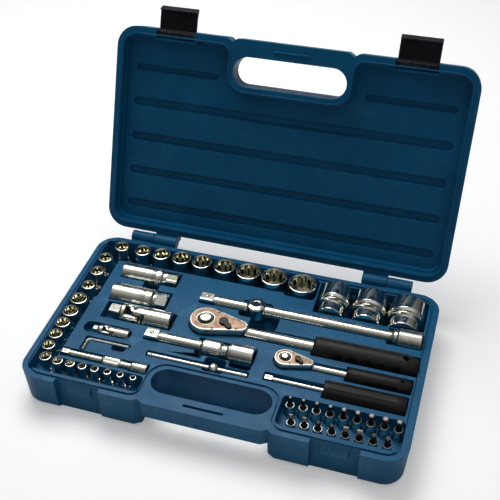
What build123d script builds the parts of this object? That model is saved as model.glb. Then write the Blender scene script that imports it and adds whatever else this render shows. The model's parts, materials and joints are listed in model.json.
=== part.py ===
from build123d import *
import math
import os

# Socket wrench set in a hinged carrying case, lid open.
# Frame: origin at the centre of the base's underside, +X to the right along the case,
# +Y towards the hinge, +Z up. Every size is in millimetres.

# ---- case
CASE_W = 417.0          # width over the rim
CASE_FRONT = -124.0     # front edge of the rim
CASE_REAR = 120.5       # rear edge of the rim
CORNER_R = 24.0         # plan radius of the case's corners
BASE_H = 45.0           # floor to base rim
LID_H = 30.0            # lid rim to lid back
SEAM_GAP = 0.4          # gap between the two rims when the lid is shut
DRAFT_DEG = 3.5         # mould draft of the outer walls
FOOT_R = 7.0            # rounding where the walls meet the base's underside and the lid's back
LID_OPEN_DEG = 112.0    # lid angle from shut, as it stands open
HINGE_Y = 129.25        # hinge axis, behind the rear rim
HINGE_Z = BASE_H
HINGE_BOSS_R = 7.0
HINGE_PIN_R = 2.0
HINGE_CENTRE_X = 144.0  # middle of each hinge
HINGE_KNUCKLE = 29.0    # length of one knuckle
PIN_CLEAR = 0.08        # running clearance of pins in their holes
RIM_INSET = 7.5         # rim edge to seam groove
SEAM_W = 2.4            # width of the seam groove in the base
SEAM_D = 2.2            # depth of the seam groove
SLOT_X = 65.5           # half length of the hand slot
SLOT_FRONT = -105.0
SLOT_REAR = -71.0
HANDLE_T = 23.0         # thickness of each half of the carrying handle
NOTCH_X = 69.5          # where the handle meets the lobes beside it
NOTCH_D = 4.0
LATCH_X = 138.0
LATCH_W = 45.0
LATCH_RECESS_W = 50.0
LATCH_RECESS_D = 7.5
LATCH_PIVOT_Y = -119.0
LATCH_PIVOT_Z = 52.0
LATCH_PIN_R = 2.0
CATCH_Z = 27.0          # underside of the catch that the latch hooks under
PANEL_Z = 60.0          # inner face of the shut lid's panel
RECESS_INSET = 1.3      # seam groove's middle to the wall of the lid's recess
RECESS_STEP = 8.0       # depth of the recess's straight step
LATCH_HOUSING_Y = -110.8    # inner face of the lid's wall behind each latch
SNAP_Y = -114.3         # middle of the handle's snap slot and of the tab that fills it
SNAP_W = 43.0
TRENCH_LEFT = -199.0    # left wall of the trench of the standing half inch sockets
TRENCH_REAR = 111.5     # rear wall of that trench
QUARTER_LEFT = -201.0   # left and front walls of the quarter inch sockets' trench
QUARTER_FRONT = -111.0

# ---- drives and fits
HALF_SQ = 12.7          # 1/2 inch square drive
QUARTER_SQ = 6.35       # 1/4 inch square drive
POCKET_GAP = 1.2        # free space beside a tool in its pocket
REST_GAP = 0.3          # free space under a tool


def stadium(x0, x1, y0, y1):
    """Rounded slot outline between two corners, its short ends fully round."""
    w, d = x1 - x0, y1 - y0
    place = Pos((x0 + x1) / 2, (y0 + y1) / 2)
    if w > d:
        return place * SlotOverall(w, d)
    return place * SlotOverall(d, w, rotation=90)


def rounded(x0, x1, y0, y1, r):
    """Rounded rectangle outline between two corners."""
    return Pos((x0 + x1) / 2, (y0 + y1) / 2) * RectangleRounded(x1 - x0, y1 - y0, r)


def prism(outline, z0, z1):
    """Straight-walled solid on an outline between two heights."""
    return extrude(Pos(0, 0, z0) * outline, z1 - z0)


def rod(x0, x1, y, z, r):
    """Round bar along X."""
    return Pos((x0 + x1) / 2, y, z) * Rot(0, 90, 0) * Cylinder(r, x1 - x0)


def turned(points):
    """Solid turned about +Z from (radius, height) points."""
    return revolve(make_face(Plane.XZ * Polyline(*[(r, z) for r, z in points], close=True)), Axis.Z)


def turned_x(points, y, z):
    """Solid turned about a line along X from (radius, x) points."""
    return Pos(0, y, z) * Rot(0, 90, 0) * turned([(r, x) for r, x in points])


def square_bar(x0, x1, y, z, side):
    """Square drive along X with softened corners."""
    bar = Pos((x0 + x1) / 2, y, z) * Box(x1 - x0, side, side)
    return chamfer(bar.edges(), side * 0.06)


def twelve_point(flats):
    """Outline of a twelve point mouth for a hexagon of this size across flats."""
    outer = flats / math.sqrt(3)
    inner = flats / 2 / math.cos(math.radians(15))
    points = []
    for k in range(24):
        r = outer if k % 2 == 0 else inner
        a = math.radians(15 * k)
        points.append((r * math.cos(a), r * math.sin(a)))
    return make_face(Polyline(*points, close=True))


def hexagon(flats):
    return RegularPolygon(flats / math.sqrt(3), 6)


# ---------------------------------------------------------------- sockets

def socket(flats, mouth_r, drive_r, length, drive, mouth_depth, step_z):
    """Hand socket standing on its drive end, mouth up, its underside at z = 0."""
    edge = 0.7
    neck = abs(mouth_r - drive_r) * 0.8 + 0.4
    body = turned([
        (0, 0), (drive_r - edge, 0), (drive_r, edge), (drive_r, step_z),
        (mouth_r, step_z + neck), (mouth_r, length - edge), (mouth_r - edge, length), (0, length),
    ])
    mouth = prism(twelve_point(flats), length - mouth_depth, length + 1)
    lead_r = flats / math.sqrt(3)
    lead = turned([(0, length - 1.0), (lead_r - 0.9, length - 1.0), (lead_r + 0.3, length + 0.1), (0, length + 0.1)])
    square = Pos(0, 0, drive * 0.5) * Box(drive + 0.15, drive + 0.15, drive * 1.2 + 1)
    through = Pos(0, 0, length / 2) * Cylinder(min(flats * 0.4, drive * 0.42), length)
    return body - mouth - lead - square - through


# size across flats, mouth radius, where it stands
HALF_ROW_Y = 97.5
HALF_COL_X = -186.0
HALF_DRIVE_R = 11.0
HALF_LEN = 38.0
HALF_FLOOR = 14.0
HALF_UPRIGHT = [
    (10, 8.0, HALF_COL_X, 21.5), (11, 8.1, HALF_COL_X, 47.5), (12, 8.6, HALF_COL_X, 72.5),
    (13, 9.0, -174.5, HALF_ROW_Y), (14, 10.0, -147.5, HALF_ROW_Y), (15, 10.8, -123.5, HALF_ROW_Y),
    (17, 11.7, -98.0, HALF_ROW_Y), (18, 12.2, -72.0, HALF_ROW_Y), (19, 13.0, -43.5, HALF_ROW_Y - 0.5),
    (21, 14.6, -14.0, HALF_ROW_Y - 1), (22, 15.3, 17.5, HALF_ROW_Y - 2), (24, 16.5, 52.0, HALF_ROW_Y - 4),
]
HALF_LYING = [(27, 18.2, 91.5), (30, 20.0, 132.0), (32, 21.5, 174.0)]
LYING_LEN = 44.0
LYING_FRONT = 60.5
LYING_TOP = 56.0        # highest point of a lying socket

QUARTER_DRIVE_R = 5.9
QUARTER_LEN = 25.0
QUARTER_FLOOR = 26.0
QUARTER_COL_X = -188.5
QUARTER_ROW_Y = -98.5
QUARTER_COLUMN = [
    (14, 9.7, -187.5, -2.0), (13, 9.2, -188.0, -23.5), (12, 8.2, QUARTER_COL_X, -43.3),
    (11, 7.6, QUARTER_COL_X, -61.8), (10, 7.1, QUARTER_COL_X, -79.8),
]
QUARTER_ROW = [
    (9, 6.6, -184.5, -96.5), (8, 5.9, -169.0, QUARTER_ROW_Y), (7, 5.5, -154.5, QUARTER_ROW_Y),
    (6, 5.0, -140.3, QUARTER_ROW_Y), (5.5, 4.6, -126.0, QUARTER_ROW_Y),
]
QUARTER_TINY = [(5, 4.3, -111.2, QUARTER_ROW_Y), (4.5, 3.9, -96.6, QUARTER_ROW_Y),
                (4, 3.6, -82.0, QUARTER_ROW_Y)]


def half_socket(size, mouth_r):
    drive_r = max(HALF_DRIVE_R, mouth_r * 0.86)
    return socket(size, mouth_r, drive_r, HALF_LEN, HALF_SQ, 14 + size * 0.2, 17.0)


def quarter_socket(size, mouth_r):
    drive_r = max(QUARTER_DRIVE_R, mouth_r * 0.84)
    return socket(size, mouth_r, drive_r, QUARTER_LEN, QUARTER_SQ, 6 + size * 0.45, 10.0)


def lying_socket(size, r):
    """Large socket, mouth up, with a gripping collar between its mouth and its drive end."""
    neck_r = r * 0.84
    collar_r = r * 0.98
    body = turned([
        (0, 0), (neck_r - 1, 0), (neck_r, 1), (neck_r, 11), (neck_r - 0.8, 12), (neck_r - 0.8, 14),
        (collar_r, 15.2), (collar_r, 18.5), (r * 0.9, 19.8), (r, 23), (r, LYING_LEN - 1),
        (r - 1, LYING_LEN), (0, LYING_LEN),
    ])
    mouth = prism(twelve_point(size), 21, LYING_LEN + 1)
    square = Pos(0, 0, HALF_SQ * 0.5) * Box(HALF_SQ + 0.15, HALF_SQ + 0.15, HALF_SQ * 1.2 + 1)
    through = Pos(0, 0, LYING_LEN / 2) * Cylinder(HALF_SQ * 0.42, LYING_LEN)
    return body - mouth - square - through


def spark_plug_socket(size, r, x0, x1, y, z):
    """Long socket lying along X: plain barrel, turned collar and hexagon drive end."""
    collar = x0 + 40
    body = turned_x([
        (0, x0), (r - 0.8, x0), (r, x0 + 0.8), (r, collar), (r - 0.8, collar + 0.8),
        (r - 0.8, collar + 3.2), (r, collar + 4), (r, collar + 8), (r * 0.82, collar + 11),
        (r * 0.82, x1 - 13), (0, x1 - 13),
    ], y, z)
    hex_end = Pos(x1 - 14, y, z) * Rot(0, 90, 0) * prism(hexagon(r * 1.5), 0, 14)
    mouth = Pos(x0 - 1, y, z) * Rot(0, 90, 0) * prism(hexagon(size + 0.3), 0, 46)
    square = Pos(x1 - 6, y, z) * Box(14, HALF_SQ + 0.15, HALF_SQ + 0.15)
    return body + hex_end - mouth - square


SPARK_SOCKETS = [(16, 11.0, -158.0, -90.0, 64.0, 43.0), (21, 13.5, -156.5, -89.5, 27.0, 41.0)]

# ---------------------------------------------------------------- bit sockets

BIT_PITCH = 13.85
BIT_REAR = (82.5, -79.5, 9)     # first x, y, count
BIT_FRONT = (89.0, -101.5, 8)
BIT_FLOOR = 17.0
BIT_RING_Z = 42.0
BIT_TIP_Z = 54.0
BIT_RING_R = 4.75
BIT_FOOT_R = 5.9
BIT_HEX = 6.35


def bit_places():
    places = []
    for x, y, count in (BIT_REAR, BIT_FRONT):
        places += [(x + k * BIT_PITCH, y) for k in range(count)]
    return places


def bit_holder():
    """Drive-end sleeve that a screwdriver bit is pressed into."""
    bottom = BIT_FLOOR + REST_GAP
    body = turned([
        (0, bottom), (BIT_FOOT_R - 0.5, bottom), (BIT_FOOT_R, bottom + 0.5), (BIT_FOOT_R, bottom + 11),
        (BIT_RING_R, bottom + 14), (BIT_RING_R, BIT_RING_Z - 0.4), (BIT_RING_R - 0.4, BIT_RING_Z), (0, BIT_RING_Z),
    ])
    square = Pos(0, 0, bottom + 3.5) * Box(QUARTER_SQ + 0.1, QUARTER_SQ + 0.1, 9)
    seat = prism(hexagon(BIT_HEX + 0.1), bottom + 10, BIT_RING_Z + 1)
    return body - square - seat


def bit_blade(kind):
    """Hexagon bit: shank in the sleeve, waist and working end that differs along the row."""
    bottom = BIT_FLOOR + REST_GAP + 10.2
    shank = prism(hexagon(BIT_HEX), bottom, BIT_RING_Z + 1.5)
    tip_r = 1.4 + 0.22 * kind
    waist = turned([(0, BIT_RING_Z + 1), (3.1, BIT_RING_Z + 1), (tip_r, BIT_RING_Z + 4), (tip_r, BIT_TIP_Z - 0.6),
                    (tip_r - 0.4, BIT_TIP_Z), (0, BIT_TIP_Z)])
    return shank + waist


# ---------------------------------------------------------------- bars and extensions

LONG_Y, LONG_Z = 44.0, 44.0
LONG_X0, LONG_X1 = -55.0, 197.0
T_X = 11.0
BAR_R = 6.5
FEMALE_R = 11.5


def female_end(x1, y, z, r, drive, length):
    """Round socket end of an extension with its square hole, its mouth at x1."""
    end = turned_x([(0, x1 - length), (r * 0.8, x1 - length), (r, x1 - length + 1.5), (r, x1 - 0.8),
                    (r - 0.8, x1), (0, x1)], y, z)
    hole = Pos(x1 - drive * 0.5, y, z) * Box(drive * 1.1, drive + 0.15, drive + 0.15)
    return end - hole


def half_long_extension():
    shaft = rod(LONG_X0 + 16, LONG_X1 - 24, LONG_Y, LONG_Z, BAR_R)
    neck = turned_x([(0, LONG_X1 - 34), (BAR_R, LONG_X1 - 34), (9, LONG_X1 - 28), (9, LONG_X1 - 25), (0, LONG_X1 - 25)],
                    LONG_Y, LONG_Z)
    head = square_bar(LONG_X0, LONG_X0 + 17, LONG_Y, LONG_Z, HALF_SQ)
    return shaft + neck + head + female_end(LONG_X1, LONG_Y, LONG_Z, FEMALE_R, HALF_SQ, 26)


def half_t_slider():
    """Sliding drive head on the long bar: round boss across the bar, square drive down."""
    boss = turned([(0, -9), (9.5, -9), (11, -7.5), (11, 7.5), (9.5, 9), (7, 9.6), (0, 9.6)])
    drive = Pos(0, 0, -16.5) * Box(HALF_SQ, HALF_SQ, 15.5)
    drive = chamfer(drive.edges(), 0.8)
    bore = Rot(0, 90, 0) * Cylinder(BAR_R + PIN_CLEAR, 40)
    dish = Pos(0, 0, 10.1) * Cylinder(4.5, 1.6)
    return Pos(T_X, LONG_Y, LONG_Z) * (boss + drive - bore - dish)


SHORT_Y, SHORT_Z = -29.0, 44.0
SHORT_X0, SHORT_X1 = -95.0, 29.5


def half_short_extension():
    shaft = rod(SHORT_X0 + 16, SHORT_X1 - 30, SHORT_Y, SHORT_Z, BAR_R)
    head = square_bar(SHORT_X0, SHORT_X0 + 17, SHORT_Y, SHORT_Z, HALF_SQ)
    x = SHORT_X1 - 62.5     # where the gripping band begins
    band = turned_x([(0, x), (BAR_R, x), (9, x + 3), (9, x + 22), (7.4, x + 25), (7.4, x + 34), (9.5, x + 37),
                     (0, x + 37)], SHORT_Y, SHORT_Z)
    return shaft + head + band + female_end(SHORT_X1, SHORT_Y, SHORT_Z, FEMALE_R, HALF_SQ, 26)


QEXT_Y, QEXT_Z = -78.5, 43.5
QEXT_X0, QEXT_X1 = -173.5, -74.5


def quarter_extension():
    shaft = rod(QEXT_X0 + 8, QEXT_X1 - 16, QEXT_Y, QEXT_Z, 3.9)
    head = square_bar(QEXT_X0, QEXT_X0 + 8.5, QEXT_Y, QEXT_Z, QUARTER_SQ)
    x = QEXT_X1 - 52.5      # where the gripping band begins
    band = turned_x([(0, x), (3.9, x), (4.9, x + 3), (4.9, x + 21), (3.9, x + 24), (0, x + 24)], QEXT_Y, QEXT_Z)
    return shaft + head + band + female_end(QEXT_X1, QEXT_Y, QEXT_Z, 6.2, QUARTER_SQ, 17.5)


TROD_Y, TROD_Z = -55.3, 42.5
TROD_X0, TROD_X1 = -83.0, 30.0
TROD_R = 2.6
TSLIDE_X = -8.0


def quarter_t_rod():
    bar = rod(TROD_X0, TROD_X1, TROD_Y, TROD_Z, TROD_R)
    for x in (TROD_X0 + 5, TROD_X1 - 6):
        bar += Pos(x, TROD_Y, TROD_Z + 2.4) * Cylinder(0.9, 2.4)
    return bar


def quarter_t_slider():
    ball = Sphere(6.0)
    drive = Pos(0, 0, -8.5) * Box(QUARTER_SQ, QUARTER_SQ, 9)
    drive = chamfer(drive.edges(), 0.4)
    bore = Rot(0, 90, 0) * Cylinder(TROD_R + PIN_CLEAR, 20)
    dish = Pos(0, 0, 6) * Cylinder(1.8, 2.4)
    return Pos(TSLIDE_X, TROD_Y, TROD_Z) * (ball + drive - bore - dish)


# ---------------------------------------------------------------- universal joints

UJH_Y, UJH_Z, UJH_X = -3.5, 43.5, -116.0    # the cross's centre
UJQ_Y, UJQ_Z, UJQ_X = -35.2, 42.5, -136.5
EAR_HALF = 0.5          # half width of a yoke's ear, as a share of the joint's radius
EAR_GAP = 0.54          # half the gap between two ears, likewise


def fork(r, gap, reach):
    """Two ears of a yoke, one each side of the XZ plane, from the cross at the origin to x = reach."""
    half = r * EAR_HALF
    tip = Rot(90, 0, 0) * Cylinder(half, 2 * r)
    block = Pos(reach / 2, 0, 0) * Box(abs(reach), 2 * r, 2 * half)
    barrel = Rot(0, 90, 0) * Cylinder(r, 2 * abs(reach))
    slot = Box(2 * abs(reach) + 2 * r, 2 * gap, 2 * r + 2)
    return ((tip + block) & barrel) - slot


def universal_joint(r, drive, x, y, z, left, right, shaft_len, female_len):
    """Male yoke, cross and female yoke of a universal joint lying along X."""
    gap = r * EAR_GAP
    pin_r = r * 0.24
    male = fork(r, gap, -left)
    male += turned_x([(0, -left - 3), (r, -left - 3), (r, -left + 0.5), (0, -left + 0.5)], 0, 0)
    male += turned_x([(0, -left - 6), (r * 0.7, -left - 6), (r * 0.9, -left - 3), (0, -left - 3)], 0, 0)
    male += square_bar(-left - 5 - shaft_len, -left - 5, 0, 0, drive)
    female = Rot(90, 0, 0) * fork(r, gap, right)
    female += turned_x([(0, right - 0.5), (r, right - 0.5), (r, right + female_len - 0.8),
                        (r - 0.8, right + female_len), (0, right + female_len)], 0, 0)
    female -= Pos(right + female_len - drive * 0.5, 0, 0) * Box(drive * 1.2, drive + 0.15, drive + 0.15)
    pin = Rot(90, 0, 0) * Cylinder(pin_r, 2 * r)
    male -= Rot(90, 0, 0) * Cylinder(pin_r + PIN_CLEAR, 3 * r)
    female -= Cylinder(pin_r + PIN_CLEAR, 3 * r)
    core = Box(gap * 1.5, gap * 1.7, gap * 1.5)
    cross = core + (pin & Box(4 * r, 2 * r - 0.6, 4 * r))
    cross += Cylinder(pin_r, 2 * r - 0.6)
    return [Pos(x, y, z) * part for part in (male, cross, female)]


# ---------------------------------------------------------------- hexagon key

HEX_KEY = 3.0
HEX_Z = 43.6
HEX_CORNER = (-154.0, -52.5)
HEX_SHORT = 17.0
HEX_LONG = 48.0


def hex_key():
    cx, cy = HEX_CORNER
    bend = 4.5
    path = Polyline((cx, cy - HEX_SHORT, HEX_Z), (cx, cy, HEX_Z), (cx + HEX_LONG, cy, HEX_Z))
    path = fillet(path.vertices().sort_by(Axis.Y)[-2:].sort_by(Axis.X)[0], bend)
    start = Plane(origin=(cx, cy - HEX_SHORT, HEX_Z), z_dir=(0, 1, 0))
    return sweep(start * hexagon(HEX_KEY), path)


# ---------------------------------------------------------------- ratchets

HALF_RATCHET = dict(
    y=6.2, z=46.0, head_x=-36.5, head_r=18.5, head_t=14.0, neck_x=4.0, neck_r=8.5, shaft_r=7.0,
    grip_x0=87.0, grip_x1=199.0, grip_r=13.5, drive=HALF_SQ, lever_x=-15.5, lever_r=5.2, lever_len=13.0,
    button_r=6.6, scallops=5, hole_r=3.2, grip_y=6.2, grip_z=42.0)
QUARTER_RATCHET = dict(
    y=-24.0, z=46.0, head_x=62.5, head_r=12.0, head_t=10.0, neck_x=89.0, neck_r=5.2, shaft_r=4.4,
    grip_x0=129.0, grip_x1=197.0, grip_r=9.6, drive=QUARTER_SQ, lever_x=76.5, lever_r=3.2, lever_len=8.0,
    button_r=4.0, scallops=5, hole_r=1.8, grip_y=-24.0, grip_z=42.5)


def ratchet_body(d):
    """Forged teardrop head and shank, with the seat for the drive and the lever."""
    half_t = d["head_t"] / 2
    tail = hull_outline(d)
    head = prism(tail, -half_t, half_t)
    head = chamfer(head.faces().sort_by(Axis.Z)[-1].edges(), 1.0)
    head = chamfer(head.faces().sort_by(Axis.Z)[0].edges(), 1.0)
    shaft = turned_x([(0, d["neck_x"] - 8), (d["neck_r"] * 0.8, d["neck_x"] - 8), (d["shaft_r"], d["neck_x"] + 12),
                      (d["shaft_r"], d["grip_x0"] + 30), (0, d["grip_x0"] + 30)], 0, d["grip_z"] - d["z"])
    seat = Pos(d["head_x"], 0, 0) * Cylinder(d["button_r"] + 2.5 + PIN_CLEAR, d["head_t"] + 2)
    lever_seat = Pos(d["lever_x"], 0, half_t) * Cylinder(d["lever_r"] * 0.5 + PIN_CLEAR, 6)
    return Pos(0, d["y"], d["z"]) * (head + shaft - seat - lever_seat)


def hull_outline(d):
    """Teardrop outline: round head running into the shank."""
    head = Pos(d["head_x"], 0) * Circle(d["head_r"])
    neck = Pos(d["neck_x"], 0) * Circle(d["neck_r"])
    return make_hull((head.edges() + neck.edges()))


def ratchet_drive(d):
    """Drive gear turning in the head, with the square drive below it."""
    half_t = d["head_t"] / 2
    r = d["button_r"] + 2.5
    gear = Cylinder(r, d["head_t"] - 0.6)
    square = Pos(0, 0, -half_t - d["drive"] * 0.5) * Box(d["drive"], d["drive"], d["drive"] + 1)
    square = chamfer(square.edges(), d["drive"] * 0.06)
    bore = Pos(0, 0, half_t) * Cylinder(d["button_r"] + PIN_CLEAR, 8)
    return Pos(d["head_x"], d["y"], d["z"]) * (gear + square - bore)


def ratchet_button(d):
    """Quick release button in the middle of the drive gear."""
    half_t = d["head_t"] / 2
    body = turned([(0, half_t - 1.8), (d["button_r"], half_t - 1.8), (d["button_r"], half_t + 2.2),
                   (d["button_r"] - 0.8, half_t + 3), (0, half_t + 3)])
    return Pos(d["head_x"], d["y"], d["z"]) * body


def ratchet_lever(d):
    """Reversing lever: round boss and thumb tab on the head's face."""
    half_t = d["head_t"] / 2
    boss = Pos(0, 0, half_t + 1.5) * Cylinder(d["lever_r"], 2.4)
    tab = Pos(d["lever_len"] / 2, 0, half_t + 1.5) * Box(d["lever_len"], d["lever_r"] * 1.1, 2.4)
    tab = fillet(tab.edges().filter_by(Axis.Z).group_by(Axis.X)[-1], d["lever_r"] * 0.4)
    pivot = Pos(0, 0, half_t - 0.8) * Cylinder(d["lever_r"] * 0.5, 3.2)
    return Pos(d["lever_x"], d["y"], d["z"]) * Rot(0, 0, -40) * (boss + tab + pivot)


def ratchet_grip(d):
    """Moulded grip with finger scallops along its front side and a hanging hole."""
    x0, x1, r = d["grip_x0"], d["grip_x1"], d["grip_r"]
    grip = turned_x([(0, x0), (r * 0.82, x0), (r, x0 + 4), (r * 1.0, x1 - 14), (r * 0.78, x1 - 3),
                     (r * 0.6, x1), (0, x1)], 0, 0)
    pitch = (x1 - x0 - 34) / d["scallops"]
    for k in range(d["scallops"]):
        grip -= Pos(x0 + 20 + (k + 0.5) * pitch, -r * 1.62, 0) * Cylinder(r * 0.82, 3 * r)
    grip -= Pos(x1 - r, 0, 0) * Cylinder(d["hole_r"], 3 * r)
    core = rod(x0 - 1, x0 + 30.2, 0, 0, d["shaft_r"] + PIN_CLEAR)
    return Pos(0, d["grip_y"], d["grip_z"]) * (grip - core)


SPINNER_Y, SPINNER_Z = -51.0, 41.5
SPINNER_X0, SPINNER_X1 = 47.5, 196.0
SPINNER_GRIP_X = 111.5
SPINNER_GRIP_R = 11.8


def spinner_shaft():
    head = square_bar(SPINNER_X0, SPINNER_X0 + 9, SPINNER_Y, SPINNER_Z, QUARTER_SQ)
    return head + rod(SPINNER_X0 + 8.5, SPINNER_GRIP_X + 30, SPINNER_Y, SPINNER_Z, 3.0)


def spinner_grip():
    r = SPINNER_GRIP_R
    grip = turned_x([(0, SPINNER_GRIP_X), (r - 1.2, SPINNER_GRIP_X), (r, SPINNER_GRIP_X + 1.5),
                     (r, SPINNER_X1 - 7), (r - 1.5, SPINNER_X1 - 2), (r - 3, SPINNER_X1), (0, SPINNER_X1)],
                    SPINNER_Y, SPINNER_Z)
    return grip - rod(SPINNER_GRIP_X - 1, SPINNER_GRIP_X + 30.2, SPINNER_Y, SPINNER_Z, 3.0 + PIN_CLEAR)


# ---------------------------------------------------------------- the case

def case_outline(inset=0.0):
    """Rim outline with the two shallow notches beside the handle."""
    outline = rounded(-CASE_W / 2 + inset, CASE_W / 2 - inset, CASE_FRONT + inset, CASE_REAR - inset,
                      CORNER_R - inset)
    for side in (-1, 1):
        x = side * NOTCH_X
        notch = make_face(Polyline((x - 8, CASE_FRONT - 1), (x, CASE_FRONT + NOTCH_D), (x + 8, CASE_FRONT - 1),
                                   close=True))
        outline -= notch
    return outline


def seam_outline(grow=0.0):
    """Outline of the seam: inside the rim all round and behind the hand slot."""
    side = CASE_W / 2 - RIM_INSET
    whole = rounded(-side, side, CASE_FRONT + RIM_INSET, CASE_REAR - RIM_INSET, CORNER_R - RIM_INSET)
    bay = rounded(-SLOT_X - 5.5, SLOT_X + 5.5, CASE_FRONT - 40, SLOT_REAR + 5.5, 20)
    outline = whole - bay
    corners = [v for v in outline.vertices() if abs(v.Y - CASE_FRONT - RIM_INSET) < 0.1 and abs(v.X) < SLOT_X + 6]
    outline = fillet(corners, 12)
    return offset(outline, grow) if grow else outline


def under_handle(z0, z1):
    """Space beyond the handle's outer face, between the two lobes."""
    side = SLOT_X + 4.0
    bay = rounded(-side, side, CASE_FRONT - 60, SLOT_REAR, 18)
    return prism(bay, z0, z1)


def hand_slot(z0, z1):
    return prism(stadium(-SLOT_X, SLOT_X, SLOT_FRONT, SLOT_REAR), z0, z1)


def hinge_boss(x0, x1, web_z, drop):
    """Knuckle round the hinge axis with the web that joins it to the wall."""
    knuckle = rod(x0, x1, HINGE_Y, HINGE_Z, HINGE_BOSS_R)
    web = Pos((x0 + x1) / 2, HINGE_Y - 6, HINGE_Z + web_z) * Box(x1 - x0, 12, drop)
    return knuckle + web


def hinge_spans(of_lid):
    """X ranges of the knuckles that belong to the lid or to the base."""
    spans = []
    for side in (-1, 1):
        centre = side * HINGE_CENTRE_X
        if side == 1:
            inner = (centre - HINGE_KNUCKLE, centre - 0.3)
            outer = (centre + 0.3, centre + HINGE_KNUCKLE)
        else:
            inner = (centre + 0.3, centre + HINGE_KNUCKLE)
            outer = (centre - HINGE_KNUCKLE, centre - 0.3)
        spans.append(inner if of_lid else outer)
    return spans


def hinge_pins():
    return [rod(c - HINGE_KNUCKLE + 2, c + HINGE_KNUCKLE - 2, HINGE_Y, HINGE_Z, HINGE_PIN_R)
            for c in (-HINGE_CENTRE_X, HINGE_CENTRE_X)]


def well(x0, x1, y0, y1, floor, r=3.0):
    """Pocket sunk in the tray down to a floor height."""
    return prism(rounded(x0, x1, y0, y1, r), floor, BASE_H + 1)


def channel(x0, x1, y, z, r, gap=POCKET_GAP):
    """Pocket for a bar lying along X: as deep as the bar needs, with free ends."""
    return well(x0 - gap, x1 + gap, y - r - gap, y + r + gap, z - r - REST_GAP, 1.5)


def socket_trenches():
    """Connected trenches that the standing sockets sit in, along the left, the rear and the front."""
    rear = well(TRENCH_LEFT, 70, HALF_ROW_Y - 18, TRENCH_REAR, HALF_FLOOR, 6)
    rear_wide = well(32, 70, HALF_ROW_Y - 22, 100, HALF_FLOOR, 6)
    left = well(TRENCH_LEFT, HALF_COL_X + 14, 10.0, TRENCH_REAR, HALF_FLOOR, 5)
    quarter_left = well(QUARTER_LEFT, QUARTER_LEFT + 26, QUARTER_FRONT, 12.0, QUARTER_FLOOR, 5)
    quarter_front = well(QUARTER_LEFT, -73.5, QUARTER_FRONT, QUARTER_FRONT + 22, QUARTER_FLOOR, 5)
    return [rear, rear_wide, left, quarter_left, quarter_front]


def lying_wells():
    """Pockets of the three large sockets, joined by one shallow step at their mouths."""
    wells = []
    for size, r, x in HALF_LYING:
        z = LYING_TOP - r
        wells.append(well(x - r - POCKET_GAP, x + r + POCKET_GAP, LYING_FRONT - 2.5, LYING_FRONT + LYING_LEN + 4,
                          z - r - REST_GAP, 2))
    wells.append(well(78, 190, 90, 112.0, 32, 4))
    return wells


def tool_wells():
    """Pockets of every tool that lies flat, with finger room beside them."""
    wells = [
        channel(LONG_X0, LONG_X1, LONG_Y, LONG_Z, BAR_R),
        channel(LONG_X1 - 36, LONG_X1, LONG_Y, LONG_Z, FEMALE_R),
        well(T_X - 18, T_X + 18, LONG_Y - 15, LONG_Y + 12.5, 19, 5),
        well(T_X - 2, T_X + 30, 15, LONG_Y, 26, 5),
        channel(SHORT_X0, SHORT_X1, SHORT_Y, SHORT_Z, BAR_R),
        channel(-34, SHORT_X1, SHORT_Y, SHORT_Z, FEMALE_R),
        well(6, SHORT_X1 + 1.2, -50, SHORT_Y, 30, 4),
        channel(QEXT_X0, QEXT_X1, QEXT_Y, QEXT_Z, 5.2),
        channel(QEXT_X1 - 19, QEXT_X1, QEXT_Y, QEXT_Z, 6.4),
        channel(TROD_X0, TROD_X1, TROD_Y, TROD_Z, TROD_R + 0.6),
        well(TSLIDE_X - 12, TSLIDE_X + 12, TROD_Y - 7.3, TROD_Y + 13, 27, 4),
    ]
    for size, r, x0, x1, y, z in SPARK_SOCKETS:
        wells.append(channel(x0, x1, y, z, r))
    wells.append(well(-128, -108, 27, 64, 31, 3))
    wells.append(channel(UJH_X - 38.5, UJH_X + 43.5, UJH_Y, UJH_Z, 12.3))
    wells.append(well(UJQ_X - 30, UJQ_X + 26.5, UJQ_Y - 8.4, UJQ_Y + 8.4, 35, 8))
    kx, ky = HEX_CORNER
    wells.append(well(kx - 3.2, kx + HEX_LONG + 2, ky - 3.2, ky + 3.2, HEX_Z - 2, 1.5))
    wells.append(well(kx - 3.2, kx + 3.2, ky - HEX_SHORT - 2, ky + 3, HEX_Z - 2, 1.5))
    wells.append(well(kx + 30, kx + 46, ky - 10, ky, 36, 4))
    return wells


def ratchet_wells(d):
    """Pocket of one ratchet: head, drive hole below it, shank and grip."""
    gap = POCKET_GAP
    head = prism(Pos(0, d["y"]) * offset(hull_outline(d), gap), d["z"] - d["head_t"] / 2 - REST_GAP, BASE_H + 1)
    drive = Pos(d["head_x"], d["y"], 0) * prism(Circle(d["drive"] * 0.71 + 1.5), 20, BASE_H)
    shank = channel(d["neck_x"] - 8, d["grip_x0"], d["y"], d["grip_z"], max(d["shaft_r"], d["neck_r"]))
    grip = channel(d["grip_x0"], d["grip_x1"], d["grip_y"], d["grip_z"], d["grip_r"])
    return [head, drive, shank, grip]


def bit_well():
    wells = [well(73.5, 200.0, -110.0, -70.5, 30, 6)]
    for x, y in bit_places():
        wells.append(Pos(x, y, 0) * prism(Circle(BIT_FOOT_R + 0.5), BIT_FLOOR, 31))
    return wells


def latch_recess(x):
    """Recess in the base's front wall with its catch left standing in the middle."""
    return Pos(x, CASE_FRONT + LATCH_RECESS_D / 2 - 5, BASE_H / 2) * Box(
        LATCH_RECESS_W, LATCH_RECESS_D + 10, BASE_H + 2)


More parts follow.
